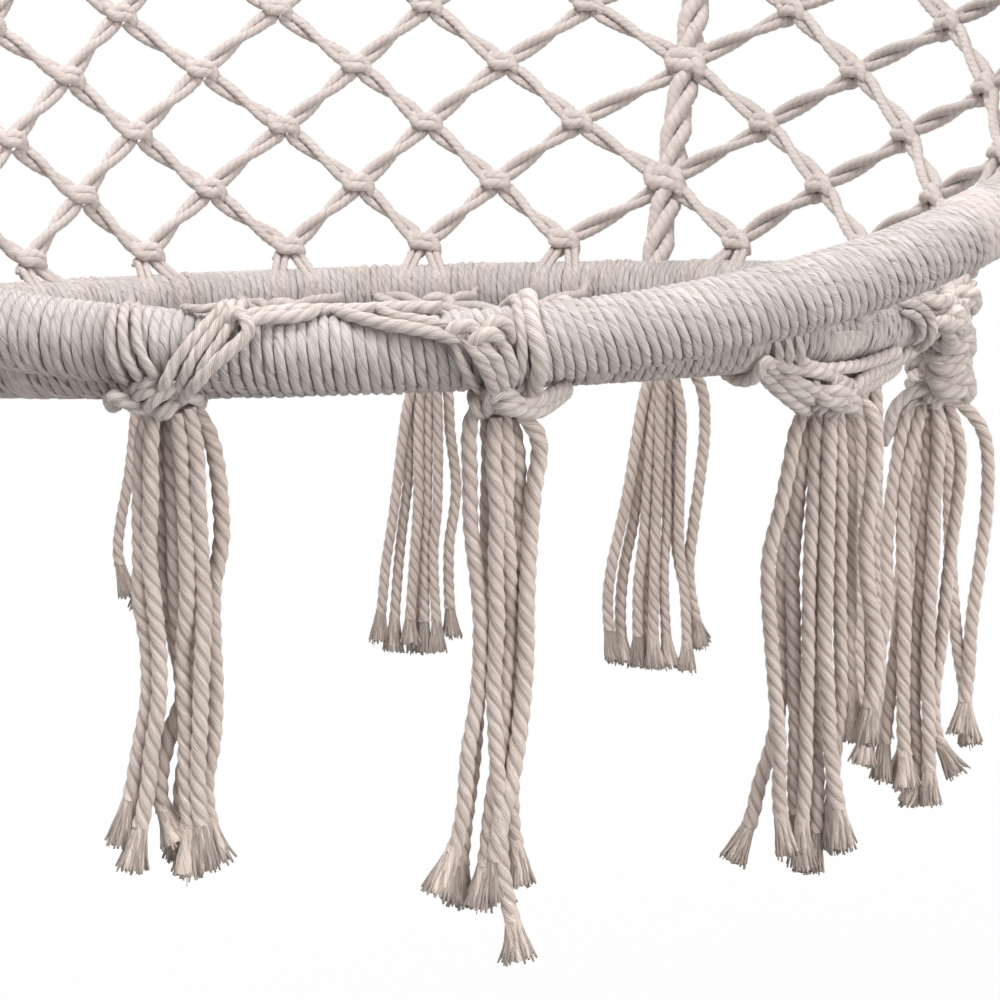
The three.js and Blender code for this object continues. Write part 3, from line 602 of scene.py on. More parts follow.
class Knot:
    """A square knot: its middle, and the ways to its right, up its face and out of it."""

    def __init__(self, place, right, rise, size=1.0):
        self.size = size
        self.place = np.array(place)
        self.right = unit(right - (right @ rise) * rise)
        self.rise = rise
        self.face = np.cross(self.right, self.rise)

    def at(self, across, up, out):
        """A place on the knot, in mm before its size is counted."""
        reach = across * self.right + up * self.rise + out * self.face
        return self.place + reach * self.size / 1000

    def port(self, index):
        """Where the pair of cords at one of its four corners leaves it."""
        across, up = PORTS[index]
        return self.at(PORT_ACROSS * across / self.size, PORT_UP * up / self.size, 0)


# The cord of one half knot, and the two cords that both halves hold: across, up and out, in mm.
HALF_KNOT = (
    (-8.4, 8.2, -0.8), (-7.8, 5.8, 0.9), (-7.2, 2.6, 3.0), (-6.0, -0.6, 4.4), (-3.6, -2.2, 5.2),
    (0.4, -2.4, 5.3), (4.2, -2.4, 4.2), (6.6, -3.2, 1.4), (7.6, -5.4, -0.6), (8.6, -7.6, -1.4),
)
TUCKED_CORDS = (
    ((9.6, 6.6, 0.0), (4.2, 3.0, -1.6), (-4.2, -3.0, -1.6), (-9.6, -6.6, 0.0)),
    ((6.6, 9.6, -0.4), (2.0, 4.2, -2.2), (-2.0, -4.2, -2.2), (-6.6, -9.6, -0.4)),
)


def tucked_ends(line, girth, ends=(0, -1)):
    """The girth along a cord that thins out where an end is tucked under other cords."""
    girths = np.full(len(line), girth)
    for end in ends:
        for step, share in enumerate((0.3, 0.6, 0.82, 0.95)):
            girths[end - step if end else step] *= share
    return girths


def knot_lines(knot, generator):
    """Two half knots that lock each other, over the two cords that they hold."""
    lines = []
    for way in (1, -1):
        loose = generator.normal(0, KNOT_LOOSE, (len(HALF_KNOT), 3))
        places = np.array(HALF_KNOT) * (way, way, 1) + loose
        line = smooth_line([knot.at(*place) for place in places], KNOT_STEP)
        lines.append((line, tucked_ends(line, KNOT_THREAD * knot.size)))
    for tucked in TUCKED_CORDS:
        line = smooth_line([knot.at(*spot) for spot in tucked], TUCKED_STEP)
        lines.append((line, tucked_ends(line, TUCKED_THREAD * knot.size)))
    return lines


PAIR_SPREAD = 0.98
PAIR_GATHER = 0.14
PAIR_SAG = 0.0007


def twisted_pair(start, end, face, generator):
    """Two cords that lie side by side at both ends and pass each other between."""
    heading = unit(end - start)
    side = np.cross(face, heading)
    length = np.linalg.norm(end - start)
    steps = max(6, int(length / PAIR_STEP))
    share = np.linspace(0, 1, steps + 1)[:, None]
    eased = share * share * (3 - 2 * share)
    turn = math.pi * (0.25 * share + 0.75 * eased)
    middle_share = np.sin(math.pi * share)
    sag = generator.normal(0, PAIR_SAG, 3) * middle_share
    gather = np.clip(np.minimum(share, 1 - share) / PAIR_GATHER, 0, 1)
    opened = (0.5 + 0.5 * gather * (2 - gather)) * (1 - 0.12 * middle_share)
    radius = NET_CORD / 2 * PAIR_SPREAD * opened
    swing = np.cos(turn) * side + np.sin(turn) * np.cross(heading, side)
    middle = start + (end - start) * share + sag
    return [middle + radius * swing, middle - radius * swing]


# Angles of the net count in degrees from the back towards +X.
KNOT_CLEARANCE = 0.015
FIRST_ROW = 0.030
SIDE_SINK, SIDE_ANGLE = 0.22, 82
DRIFT, LEFT_DRIFT = 0.15, 0.016


def wall_height(back_angle):
    """How far the back ring stands above the seat ring's level here."""
    return back_hoop.middle(180 - back_angle)[2] - SEAT_FRONT[2]


def back_net_knot(row, back_angle):
    """The knot of a row and column, or None where it would touch the back ring."""
    size = SPINE_KNOT_SIZE if back_angle in SPINES else KNOT_SIZE
    back_angle += (min(row, 3) - 1) * (DRIFT + LEFT_DRIFT * max(0, -back_angle))
    sink = 1 - SIDE_SINK * (back_angle / SIDE_ANGLE) ** 2
    height = (FIRST_ROW + row * NET_ROW_RISE) * sink
    if height > wall_height(back_angle) - WOUND - KNOT_CLEARANCE:
        return None
    low, high = seat_hoop.middle(180 - back_angle), back_hoop.middle(180 - back_angle)
    place = low + (high - low) * height / wall_height(back_angle)
    turn = math.radians(back_angle)
    return Knot(place, np.array([math.cos(turn), -math.sin(turn), 0]), unit(high - place), size)


LEG_MEETS, LEG_WRAP = 71.4, 250
LEG_STEPS = 8
LEG_SINK = 0.0021
LEG_GIRTH = 0.82
LEG_SHIFTS, FOOT_SHIFTS = (-0.0025, 0.0025), (-0.0024, 0.0024)
PORT_SHIFT = 0.006


def wrapped_leg(hoop, start, angle, way, generator, shift=0.0):
    """From a knot to a ring and most of the way round it, pressed into the winding.
    way is 1 for a leg that goes up to its ring."""
    offset = start - hoop.middle(angle)
    meet = math.degrees(math.atan2(offset @ hoop.normal, offset @ hoop.outward(angle)))
    route = [start]
    for step in range(LEG_STEPS + 1):
        section = meet - way * (LEG_MEETS + LEG_WRAP * step / LEG_STEPS)
        side_shift = shift + generator.normal(0, 0.0004)
        route.append(hoop.surface(angle, section, WOUND - LEG_SINK, side_shift))
    return smooth_line(route, CORD_STEP)


net_lines = []


def add_net_lines(lines, place):
    """Keeps each line with the place that decides which band of the net it belongs to."""
    net_lines.extend((place, line) for line in lines)


generator = np.random.default_rng(11)
rows = [
    [back_net_knot(row, angle) for angle in (ODD_COLUMNS if row % 2 else EVEN_COLUMNS)]
    for row in range(int(wall_height(0) / NET_ROW_RISE))
]
for row, knots in enumerate(rows):
    columns = ODD_COLUMNS if row % 2 else EVEN_COLUMNS
    above_columns = EVEN_COLUMNS if row % 2 else ODD_COLUMNS
    for column, knot in enumerate(knots):
        if knot is None:
            continue
        add_net_lines(knot_lines(knot, generator), knot.place)
        left_above = column if row % 2 else column - 1
        for port, above in enumerate((left_above + 1, left_above)):
            reachable = 0 <= above < len(above_columns)
            upper = rows[row + 1][above] if reachable and row + 1 < len(rows) else None
            if upper is not None:
                ends = knot.port(port), upper.port(port + 2)
                pair = twisted_pair(*ends, knot.face, generator)
                add_net_lines(pair, (ends[0] + ends[1]) / 2)
                continue
            angle = 180 - (above_columns[above] if reachable else columns[column])
            start = knot.port(port)
            target = back_hoop.middle(angle)
            end = target + WOUND * 1.15 * unit(start - target)
            add_net_lines(twisted_pair(start, end, knot.face, generator), (start + end) / 2)
            for shift in LEG_SHIFTS:
                shift += PORTS[port][0] * PORT_SHIFT
                leg = wrapped_leg(back_hoop, end, angle, 1, generator, shift)
                add_net_lines([(leg, tucked_ends(leg, LEG_GIRTH, (-1,)))], end)
        if row == 0:
            for port in (2, 3):
                foot = math.degrees(2 * PORT_SHIFT / SEAT_RADIUS) * PORTS[port][0]
                angle = 180 - columns[column] - foot
                for shift in FOOT_SHIFTS:
                    start = knot.port(port) + shift * knot.right
                    leg = wrapped_leg(seat_hoop, start, angle, -1, generator, -shift)
                    add_net_lines([(leg, tucked_ends(leg, LEG_GIRTH, (-1,)))], knot.place)

# The two thick columns are twisted from three cords, cut into pieces that overlap, for the bands.
SPINE_TURN, SPINE_RADIUS, SPINE_GIRTH = 0.078, 0.0050, 1.62
SPINE_LUMP, SPINE_LUMP_LENGTH = 0.16, 0.026
SPINE_PART, SPINE_OVERLAP = 12, 2
for spine in SPINES:
    low, high = seat_hoop.middle(180 - spine), back_hoop.middle(180 - spine)
    heading = unit(high - low)
    turn = math.radians(spine)
    side = unit(np.array([math.cos(turn), -math.sin(turn), 0]))
    face = np.cross(side, heading)
    length = np.linalg.norm(high - low)
    steps = int(length / PAIR_STEP)
    for strand in range(PLIES):
        points = []
        for step in range(steps + 1):
            reach = length * step / steps
            turned = -2 * math.pi * (reach / SPINE_TURN + strand / PLIES)
            lump = SPINE_LUMP * math.sin(2 * math.pi * reach / SPINE_LUMP_LENGTH + strand)
            spoke = math.cos(turned) * side + math.sin(turned) * face
            points.append(low + heading * reach + spoke * SPINE_RADIUS * (1 + lump))
        for first in range(0, steps, SPINE_PART):
            part = np.array(points[first : first + SPINE_PART + SPINE_OVERLAP])
            add_net_lines([(part, SPINE_GIRTH)], part.mean(axis=0))

# Each band of the net is made of the cords at one distance from the front, where the ring folds.
FOLD = back_hoop.middle(0)
FOLD_SPAN = math.radians(BACK_TILT / 2)
FOLD_NEAREST = 0.05
BAND_EDGES = (0.0, 0.12, 0.2, 0.3, 0.38, 0.46, 0.54, 0.6, 0.66, 0.9)
fold_up = np.array([0, -math.sin(FOLD_SPAN), math.cos(FOLD_SPAN)])


def fold_with_rings(piece, distance):
    """Bakes the piece's transform into its mesh. The ends of its span at the back ring and the seat ring
    are worked out but not used.
    """
    half = distance * math.sin(FOLD_SPAN)
    tuple(FOLD + half * fold_up)
    tuple(FOLD - half * fold_up)
    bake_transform(piece)


for order, (near, far) in enumerate(zip(BAND_EDGES, BAND_EDGES[1:])):
    distances = [math.hypot(*(place - FOLD)[1:]) for place, line in net_lines]
    chosen = [line for distance, (place, line) in zip(distances, net_lines) if near <= distance < far]
    if not chosen:
        continue
    nearest = min(distance for distance in distances if near <= distance < far)
    band = lay_cords(f"back_net_band_{order + 1}", chosen, net_cotton, NET_CORD, NET_TURN, sides=9)
    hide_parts("back_net")
    fold_with_rings(band, max(nearest, FOLD_NEAREST))


# Ring links: four short braids of square knots that close the net towards the front.
# Each runs from the seat ring up to the back ring and is wound round both.
LINKS = {"left_2": -78.6, "left_1": -52.4, "right_1": 42.4, "right_2": 68.6}
BRAID_STEP = 0.0125
BRAID_SCALE, BRAID_SINK, BRAID_GIRTH = (1.3, 1.05, 1.15), 0.5, 1.08
BRAID_CORE, BRAID_KNOT_STEP = 0.003, 0.0016
BRAID_SHIFTS = (-0.0075, -0.0025, 0.0025, 0.0075)


def braid_lines(low, high, side):
    """Square knots in a chain, turned by turns, over a core of four straight cords."""
    heading = unit(high - low)
    length = np.linalg.norm(high - low)
    lines = []
    knots = max(2, round(length / BRAID_STEP))
    for order in range(knots):
        knot = Knot(low + heading * length * (order + 0.5) / knots, side, heading)
        way = 1 if order % 2 else -1
        for hand in (way, -way):
            places = np.array(HALF_KNOT) * (hand, 1, 1) * BRAID_SCALE - (0, 0, BRAID_SINK)
            lines.append((smooth_line([knot.at(*place) for place in places], BRAID_KNOT_STEP), BRAID_GIRTH))
    for strand in range(4):
        turn = math.pi / 2 * strand + 0.6
        off = BRAID_CORE * (math.cos(turn) * side + math.sin(turn) * np.cross(side, heading))
        lines.append(smooth_line([low + off, (low + high) / 2 + off * 1.1, high + off], ROPE_STEP))
    return lines


generator = np.random.default_rng(23)
for name, angle in LINKS.items():
    low, high = seat_hoop.middle(angle), back_hoop.middle(angle)
    side = unit(np.cross([0.0, 0.0, 1.0], seat_hoop.outward(angle)))
    heading = unit(high - low)
    inner = low + heading * WOUND * 0.9, high - heading * WOUND * 0.9
    lines = braid_lines(*inner, side)
    for shift in BRAID_SHIFTS:
        for hoop, spot, way in ((seat_hoop, inner[0], -1), (back_hoop, inner[1], 1)):
            lines.append(wrapped_leg(hoop, spot + shift * 0.7 * side, angle, way, generator, shift))
    link = lay_cords(f"ring_braid_{name}", lines, net_cotton, NET_CORD, NET_TURN, sides=9)
    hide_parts(f"ring_link_{name}")
    fold_with_rings(link, math.hypot(*((low + high) / 2 - FOLD)[1:]))


# Seat net: the same knotted diamonds in pairs of cord, inside the seat ring.
# It sags towards the middle, and its outermost cords are wound round the ring.
SEAT_MESH = 0.1
SEAT_SAG = 0.03
SEAT_MIDDLE = np.array([0, -0.025, SEAT_HEIGHT])
SEAT_LEG_GIRTH = 0.78


def seat_net_place(x, y):
    """The net hangs in a shallow bowl."""
    return SEAT_MIDDLE + np.array([x, y, -SEAT_SAG * (1 - (x * x + y * y) / SEAT_RADIUS**2)])


generator = np.random.default_rng(31)
seat_knots = {}
for column in range(-6, 7):
    for row in range(-6, 7):
        x, y = column * SEAT_MESH / 2, row * SEAT_MESH / 2
        if (column + row) % 2 == 0 and math.hypot(x, y) < SEAT_RADIUS - WOUND - KNOT_CLEARANCE:
            rightward, backward = np.array([1.0, 0, 0]), np.array([0, 1.0, 0])
            seat_knots[column, row] = Knot(seat_net_place(x, y), rightward, backward)
seat_lines = []
for (column, row), knot in seat_knots.items():
    seat_lines += knot_lines(knot, generator)
    for port, (right_way, rise_way) in enumerate(PORTS):
        other = seat_knots.get((column + right_way, row + rise_way))
        if other and port < 2:
            seat_lines += twisted_pair(knot.port(port), other.port(port + 2), knot.face, generator)
        if other:
            continue
        x, y = column * SEAT_MESH / 2, row * SEAT_MESH / 2
        along = (x * right_way + y * rise_way) / 2
        run = math.sqrt(along**2 + (SEAT_RADIUS**2 - x * x - y * y) / 2) - along
        target = seat_net_place(x + right_way * run, y + rise_way * run)
        start = knot.port(port)
        end = target + WOUND * 1.15 * unit(start - target)
        seat_lines += twisted_pair(start, end, knot.face, generator)
        reach = target - SEAT_MIDDLE
        angle = math.degrees(math.atan2(reach[0], -reach[1]))
        for shift in LEG_SHIFTS:
            leg = wrapped_leg(seat_hoop, end, angle, 1, generator, shift)
            seat_lines.append((leg, tucked_ends(leg, SEAT_LEG_GIRTH, (-1,))))
seat_net = lay_cords("seat_net_cords", seat_lines, net_cotton, NET_CORD, NET_TURN, sides=8)
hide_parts("seat_net")
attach(seat_net, "seat")


# Front lashings: doubled cotton cords that bind the two rings together where they touch.
# The cords slant over the back ring, go down behind the seat ring and come back under both,
# into a thick knot that carries a tassel.
TIE_CORD = 0.0064
LASHING_DROP = 0.016
LASHING_PLY_TURN, TIE_PLY_TURN = 0.021, 0.02
tie_cotton = natural_cotton("tie_cotton", (0.83, 0.742, 0.70, 1), (0.53, 0.45, 0.40, 1), 0.45)


def overhand_knot(place, angle, width, depth, height, turn_shift=0.0):
    """The closed path of a simple knot, squashed to these sizes, with its width along the ring."""
    turn = math.radians(angle)
    right_way = np.array([math.cos(turn), math.sin(turn), 0])
    out_way = np.array([math.sin(turn), -math.cos(turn), 0])
    points = []
    for step in range(73):
        t = 2 * math.pi * step / 72 + turn_shift
        reach = 2 + math.cos(3 * t)
        x, z, y = reach * math.cos(2 * t) / 3, reach * math.sin(2 * t) / 3, math.sin(3 * t)
        points.append(
            place
            + right_way * x * (width - TIE_CORD) / 2
            + out_way * y * (depth - TIE_CORD) / 2
            + np.array([0, 0, z * (height - TIE_CORD) / 2])
        )
    return np.array(points)


# The two lashings' angles on the seat ring.
LASHINGS = {"front_left": -18.6, "front_right": 8.6}
# Each cord's girth, and its places in mm from the knot: to +X, forwards, up.
LASHING_ROUTES = {
    "front_left": {
        "slant_1": (0.86, ((-4, 27, -2.5), (-2.5, 32, 2), (1, 40, 8), (4.5, 41.5, 14.5), (9.5, 43, 21),
            (15, 42, 27), (20.5, 38.5, 32.5), (24.5, 34, 36), (26, 24.5, 37.5))),
        "slant_2": (0.86, ((3.5, 26, -1.5), (5.5, 34, 4), (9.5, 43, 11.5), (13, 44, 18), (18, 43.5, 24),
            (22.5, 41.5, 29.5), (27, 37.5, 34), (29, 28, 37.5))),
        "slant_3": (0.8, ((9.5, 26, -1), (11, 34, 5), (16, 45, 13), (20, 45, 19), (24, 44.5, 24),
            (27.5, 42.5, 29.5), (31, 38.5, 34.5), (33, 25.5, 37.5))),
        "slant_4": (0.98, ((5, 26, -4), (8, 33, 1), (13.5, 43.5, 7), (19, 46, 13), (24.5, 47.5, 17.5),
            (30.5, 48, 22.5), (35, 47.5, 26.5), (35, 46, 31.5), (31.5, 44, 35), (28, 43, 33),
            (26.5, 42.5, 29))),
        "tail_left": (0.62, ((30, 36.5, 35.5), (25.5, 31.5, 37), (20, 31.5, 37), (15.5, 32.5, 36.5),
            (11, 29, 37), (7.5, 21, 37.5))),
        "tail_right": (0.95, ((31.5, 41, 32.5), (36, 44, 31), (40.5, 42, 32.5), (46.5, 40.5, 32.5),
            (52, 40.5, 32.5), (59, 38.5, 33), (65.5, 33, 34))),
        "over_knot": (0.92, ((-9.5, 20, -7.5), (-7, 31, -2.5), (-2.5, 35, 1), (2, 36, 4),
            (6.5, 33, 5.5), (9.5, 26, 3.5))),
        "arch_1": (0.86, ((-16.5, 24, 1), (-12, 30, 5), (-7.5, 34, 7), (-2.5, 33, 7), (0.5, 28, 3.5))),
        "arch_2": (0.86, ((-15, 24, -2), (-10, 32, 2), (-5.5, 34, 3.5), (-1.5, 31, 1.5),
            (0, 24, -2.5))),
        "under_left": (1.1, ((-23.5, 19, 0.5), (-17, 27, -1), (-11, 27, -4), (-5.5, 22, -6))),
        "low_bar": (0.85, ((-8.5, 22, -6.5), (-4, 28, -6), (0.5, 31, -4), (5, 28, -2), (8, 22, -3.5))),
        "loose_1": (0.72, ((-20, 19.5, 39.5), (-20.5, 31.5, 33), (-21, 35, 26), (-20.5, 36, 18.5),
            (-18.5, 35, 11.5), (-15, 25, 5))),
        "loose_2": (0.76, ((-15.5, 15, 39.5), (-16, 32.5, 33), (-16, 37, 26), (-15, 38, 18.5),
            (-12, 37.5, 12), (-8.5, 27, 6))),
        "loose_3": (0.74, ((-10.5, 16.5, 39.5), (-10.5, 34, 32), (-10, 38.5, 24), (-8, 39.5, 17.5),
            (-5, 39, 12), (-2.5, 28, 6.5))),
    },
    "front_right": {
        "front_lay_1": (0.95, ((-71, 20, 36), (-62.5, 30.5, 34), (-53.5, 35, 31.5), (-44.5, 37.5, 29.5),
            (-36.5, 38.5, 28), (-29, 40, 26), (-23.5, 42, 24), (-19, 42, 22))),
        "front_lay_2": (0.78, ((-53.5, 20, 37), (-46, 32, 33.5), (-38, 34.5, 32), (-30.5, 36.5, 30.5),
            (-24, 38.5, 28.5), (-19.5, 40, 25.5))),
        "arch_high_left": (1.05, ((-24, 40.5, 21.5), (-23, 41, 26.5), (-19.5, 41, 28.5),
            (-15, 41.5, 28.5), (-12, 42.5, 25.5), (-13.5, 41, 21.5))),
        "arch_low": (1.1, ((-15.5, 40.5, 18.5), (-14, 43, 22.5), (-10, 44, 25), (-6, 43.5, 25),
            (-3, 42, 22.5), (-2.5, 39.5, 17.5))),
        "arch_high_right": (1.0, ((-10.5, 40.5, 23), (-8.5, 41.5, 27), (-4.5, 40.5, 30),
            (-0.5, 39.5, 29), (2, 39.5, 25.5), (2.5, 39, 20.5))),
        "bind_left": (0.7, ((-23, 41, 23.5), (-20.5, 41, 18.5), (-18.5, 40.5, 13), (-15.5, 38, 7.5),
            (-12, 31, 1.5), (-9, 26, -3))),
        "bind_middle": (1.12, ((-18, 42, 23.5), (-13.5, 43.5, 18.5), (-10, 43.5, 14), (-7.5, 41.5, 8.5),
            (-5.5, 38, 3), (-3.5, 32, -2.5))),
        "bind_middle_2": (1.0, ((-14.5, 40, 25), (-9.5, 44, 19.5), (-5, 43.5, 14.5), (-3, 41.5, 9),
            (-1.5, 38, 3), (0, 30, -2.5))),
        "bind_right": (1.0, ((-6, 40, 26), (-2.5, 41.5, 21.5), (0.5, 41, 16), (2, 39.5, 10),
            (2.5, 35, 5), (0, 31, -0.5))),
        "turn_1": (0.8, ((6, 17.5, 37.5), (6, 32, 32.5), (6.5, 37.5, 25.5), (6.5, 39, 17.5),
            (6, 36.5, 9), (5, 30.5, 2))),
        "loose_turn": (1.25, ((11.5, 17.5, 38.5), (11, 32, 32.5), (12, 38, 24.5), (13.5, 39, 16.5),
            (13.5, 37, 8), (11.5, 28, 0.5), (7.5, 26, -1), (4.5, 22, 0.5))),
        "knot_arch": (1.1, ((-7.5, 24, -10), (-7, 32, -4), (-4, 36, 0), (1, 36, -1), (5, 31, -4.5),
            (6, 22, -10))),
        "knot_bar": (1.05, ((-7, 30, -4.5), (-3, 36, -5), (2, 36, -6.5), (7.5, 30, -8.5),
            (13.5, 24, -9), (19.5, 14, -7.5), (26, 0, -5))),
        "under_right": (1.15, ((0, 28, -3), (6, 29, -5), (13.5, 25, -4.5), (20.5, 14, -3),
            (27.5, 0, -1.5))),
        "knot_left": (0.95, ((-11, 26, -0.5), (-13, 30, -4), (-12, 28, -8.5), (-8.5, 24, -10.5))),
    },
}
# Cords that go on over the seat ring and down behind it to the knot, at their first place (0)
# or their last (-1).
OVER_THE_TOP = {"slant_1": -1, "slant_2": -1, "slant_3": -1, "turn_1": 0, "loose_turn": 0}
# Cords that come from behind and under at their left end, or go there at their right end.
FROM_UNDER = ("under_left",)
TO_UNDER = ("under_right", "knot_bar")
SECTIONS_DOWN = (95, 130, 165, 200, 235, 262)
SECTIONS_UNDER = (70, 105, 140, 175, 210, 240, 262)


def round_seat_ring(x_from, x_to, sections):
    """Places round the back of the seat ring, from one side to another."""
    places = []
    for share, section in zip(np.linspace(0, 1, len(sections)), sections):
        angle = math.degrees(math.asin((x_from + (x_to - x_from) * share) / SEAT_RADIUS))
        places.append(seat_hoop.surface(angle, section, WOUND + TIE_CORD / 2))
    return places


knot_places = {}
for name, angle in LASHINGS.items():
    reach = SEAT_RADIUS * math.sin(math.radians(angle))
    back_angle = math.degrees(math.asin(reach / BACK_RADIUS))
    middle = (seat_hoop.middle(angle) + back_hoop.middle(back_angle)) / 2
    knot_place = middle - np.array([0, 0, LASHING_DROP])
    knot_places[name] = knot_place
    lines = [
        overhand_knot(knot_place + np.array([0, -0.016, -0.002]), angle, 0.034, 0.030, 0.018),
        overhand_knot(knot_place + np.array([0, -0.004, -0.001]), angle, 0.030, 0.024, 0.020, 0.5),
    ]
    for route, (girth, places) in LASHING_ROUTES[name].items():
        points = [knot_place + np.array([x, -out, up]) / 1000 for x, out, up in places]
        if route in OVER_THE_TOP:
            end = OVER_THE_TOP[route]
            loop = round_seat_ring(points[end][0], knot_place[0], SECTIONS_DOWN)
            loop.append(knot_place + np.array([0, 0.002, -0.003]))
            points = points + loop if end else loop[::-1] + points
        if route in FROM_UNDER:
            side = points[0][0] - 0.004
            points = round_seat_ring(side - 0.002, side, SECTIONS_UNDER) + points
        if route in TO_UNDER:
            side = points[-1][0] + 0.003
            points = points + round_seat_ring(side, side + 0.002, SECTIONS_UNDER[::-1])
        line = smooth_line(points, CORD_STEP)
        lines.append((line, tucked_ends(line, girth)))
    lashing = lay_cords(f"lashing_cords_{name}", lines, tie_cotton, TIE_CORD, LASHING_PLY_TURN)
    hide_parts(f"lashing_{name}")
    fold_with_rings(lashing, FOLD_NEAREST)

# The end of the left lashing's cord lies on the back ring as far as the right lashing:
# angles and sections on the ring, and how far the cord's middle stands off the winding.
front_route = [
    back_hoop.surface(angle, section, WOUND + lift)
    for angle, section, lift in (
        (-10.6, 60, 0.0022), (-9.4, 70, 0.0026), (-8, 84, 0.0024), (-6, 101, 0.0018), (-4, 112, 0.0014),
        (-2, 113, 0.0014), (-0.5, 110, 0.0018), (0.6, 106, 0.002), (1.6, 102, 0.002), (2.8, 96, 0.002),
    )
]
line = smooth_line(front_route, CORD_STEP)
front_cord = lay_cords("front_cord_lay", [line], tie_cotton, TIE_CORD, LASHING_PLY_TURN)
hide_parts("front_cord")
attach(front_cord, "sling")


# Ties: eleven knots that hang under the seat ring on short doubled cords.
# The cords of each tie are wound round the ring to either side of its knot.
# Each tie's angle on the ring, and how deep it hangs.
TIES = {
    "right_1": (42.4, 1), "right_2": (68.6, 1.35), "right_3": (85, 1.2), "right_4": (104.3, 1),
    "right_5": (140.2, 1), "rear": (171.6, 1), "left_5": (-150.7, 1), "left_4": (-118, 1),
    "left_3": (-96, 1), "left_2": (-75, 1.2), "left_1": (-52.4, 1),
}
# The cords of the two ties that show, as in the table of the lashings.
TIE_ROUTES = {
    "right_1": {
        "round_1": (1.1, ((-35, 39.5, 18), (-30.5, 34.5, 12.5), (-26, 35.5, 8.5), (-20, 32, 3.5),
            (-13.5, 25.5, -0.5), (-7, 16, -3.5))),
        "round_2": (1.1, ((-34.5, 46.5, 23), (-27, 34.5, 16), (-21.5, 36, 11), (-14.5, 32.5, 6),
            (-7.5, 24.5, 1))),
        "bar_1": (1.0, ((-32.5, 46, 24), (-24.5, 39.5, 20), (-16.5, 32.5, 17.5), (-8.5, 29.5, 16),
            (0.5, 21.5, 13), (9, 12.5, 9.5), (17.5, 0, 5))),
        "bar_2": (1.0, ((-26.5, 34, 17), (-20, 36, 13.5), (-14, 34, 10.5), (-7.5, 28.5, 6),
            (-3, 21, 0.5))),
        "round_3": (1.15, ((55, -44.5, 19.5), (46.5, -39.5, 16), (37, -26, 13.5), (24.5, -6, 11),
            (15.5, 7, 8), (10, 12.5, 3.5), (9.5, 8, -2.5))),
        "round_4": (1.05, ((41, -22.5, 20), (29.5, -10.5, 18), (18, 2, 16.5), (7, 14.5, 16.5),
            (-3.5, 23, 17), (-13.5, 32, 20), (-20, 38.5, 24.5))),
        "low_bar": (1.0, ((49, -49.5, 12), (39, -31, 9), (27, -13, 6.5), (17, 1, 4), (12.5, 4, -1))),
        "back_1": (1.3, ((-30, 28, 19), (-15.5, 17.5, 14.5), (-1.5, 5.5, 10.5), (16, -12, 9),
            (38.5, -38.5, 11.5))),
        "back_2": (1.3, ((-23.5, 25, 11), (-10, 15, 6.5), (7, -0.5, 2.5), (23, -17.5, 4),
            (38, -35.5, 8))),
        "turn_1": (0.75, ((-29.5, 45, 33.5), (-28, 45.5, 28), (-28, 43.5, 23.5), (-30, 40, 19))),
        "turn_2": (0.75, ((-24, 41.5, 34.5), (-22.5, 42.5, 28.5), (-23, 42, 23.5), (-25, 36.5, 18))),
        "turn_3": (0.75, ((-18.5, 37.5, 35), (-17, 39, 28.5), (-17, 37.5, 23), (-18.5, 31, 17))),
    },
    "right_2": {
        "bar_1": (1.3, ((-19, 71.5, 54), (-15, 74.5, 54.5), (-7.5, 68, 53.5), (2.5, 53.5, 51),
            (18, 16, 44.5))),
        "bar_2": (1.35, ((-18.5, 76.5, 42), (-11.5, 76, 44.5), (1, 57.5, 41.5), (27, -13.5, 32))),
        "curl_1": (0.9, ((-35.5, 92, 55.5), (-25, 83.5, 53.5), (-17.5, 79, 48), (-15.5, 77.5, 40),
            (-19, 72.5, 33), (-25.5, 69.5, 30.5))),
        "curl_2": (0.8, ((-34, 93, 51), (-26.5, 86, 49), (-21.5, 81, 43.5), (-22, 79, 37.5),
            (-26, 79.5, 34.5))),
        "post_1": (1.4, ((5, 23, 60), (0.5, 49, 53.5), (-6.5, 65.5, 46), (-0.5, 52.5, 35),
            (6.5, 12, 22), (9.5, 13, 12), (8.5, 8, 3.5))),
        "post_2": (1.4, ((31, -37, 55.5), (18.5, 14.5, 49), (11, 33, 41.5), (21, 4, 29),
            (17.5, 10, 19.5), (18.5, 10, 9.5), (15.5, 6, 2))),
        "arc_1": (1.12, ((-22.5, 6, -22.5), (-21, 8, -13), (-19.5, 12, -3.5), (-14, 15, 3.5),
            (-6.5, 18, 6.5), (3, 18, 4), (11, 13, -2))),
        "arc_2": (0.9, ((-15, 6, -10.5), (-13, 10, -3.5), (-8.5, 14, 0.5), (-1.5, 14, 0))),
    },
}
# Square knots over these ties: to +X, forwards, up from the tie's own knot in mm, and their size.
SQUARE_KNOTS = {
    "right_1": ((-1, 25, 5, 0.95), (6, 18, 1, 0.9)),
    "right_2": (
        (8, 34, 54, 1.1), (-6, 62, 46, 1.15), (6, 26, 32, 1.25), (5, 22, 20.5, 1.2), (7, 18, 9.5, 1.3),
    ),
}
TIE_DROP = 0.034
TIE_LEGS = 3
TIE_FOOT, TIE_FOOT_STEP = 0.036, 0.007
TIE_WRAP_START, TIE_WRAP = -62, 250


def round_from_behind(place):
    """Places from behind the seat ring, down and under it, towards this one."""
    offset = place - seat_hoop.centre
    angle = math.degrees(math.atan2(offset[0], -offset[1]))
    section = math.degrees(math.atan2(offset[2], math.hypot(offset[0], offset[1]) - seat_hoop.radius))
    lift = WOUND + TIE_CORD / 2
    return [seat_hoop.surface(angle, section - back, lift) for back in (205, 170, 135, 100, 65, 30)]


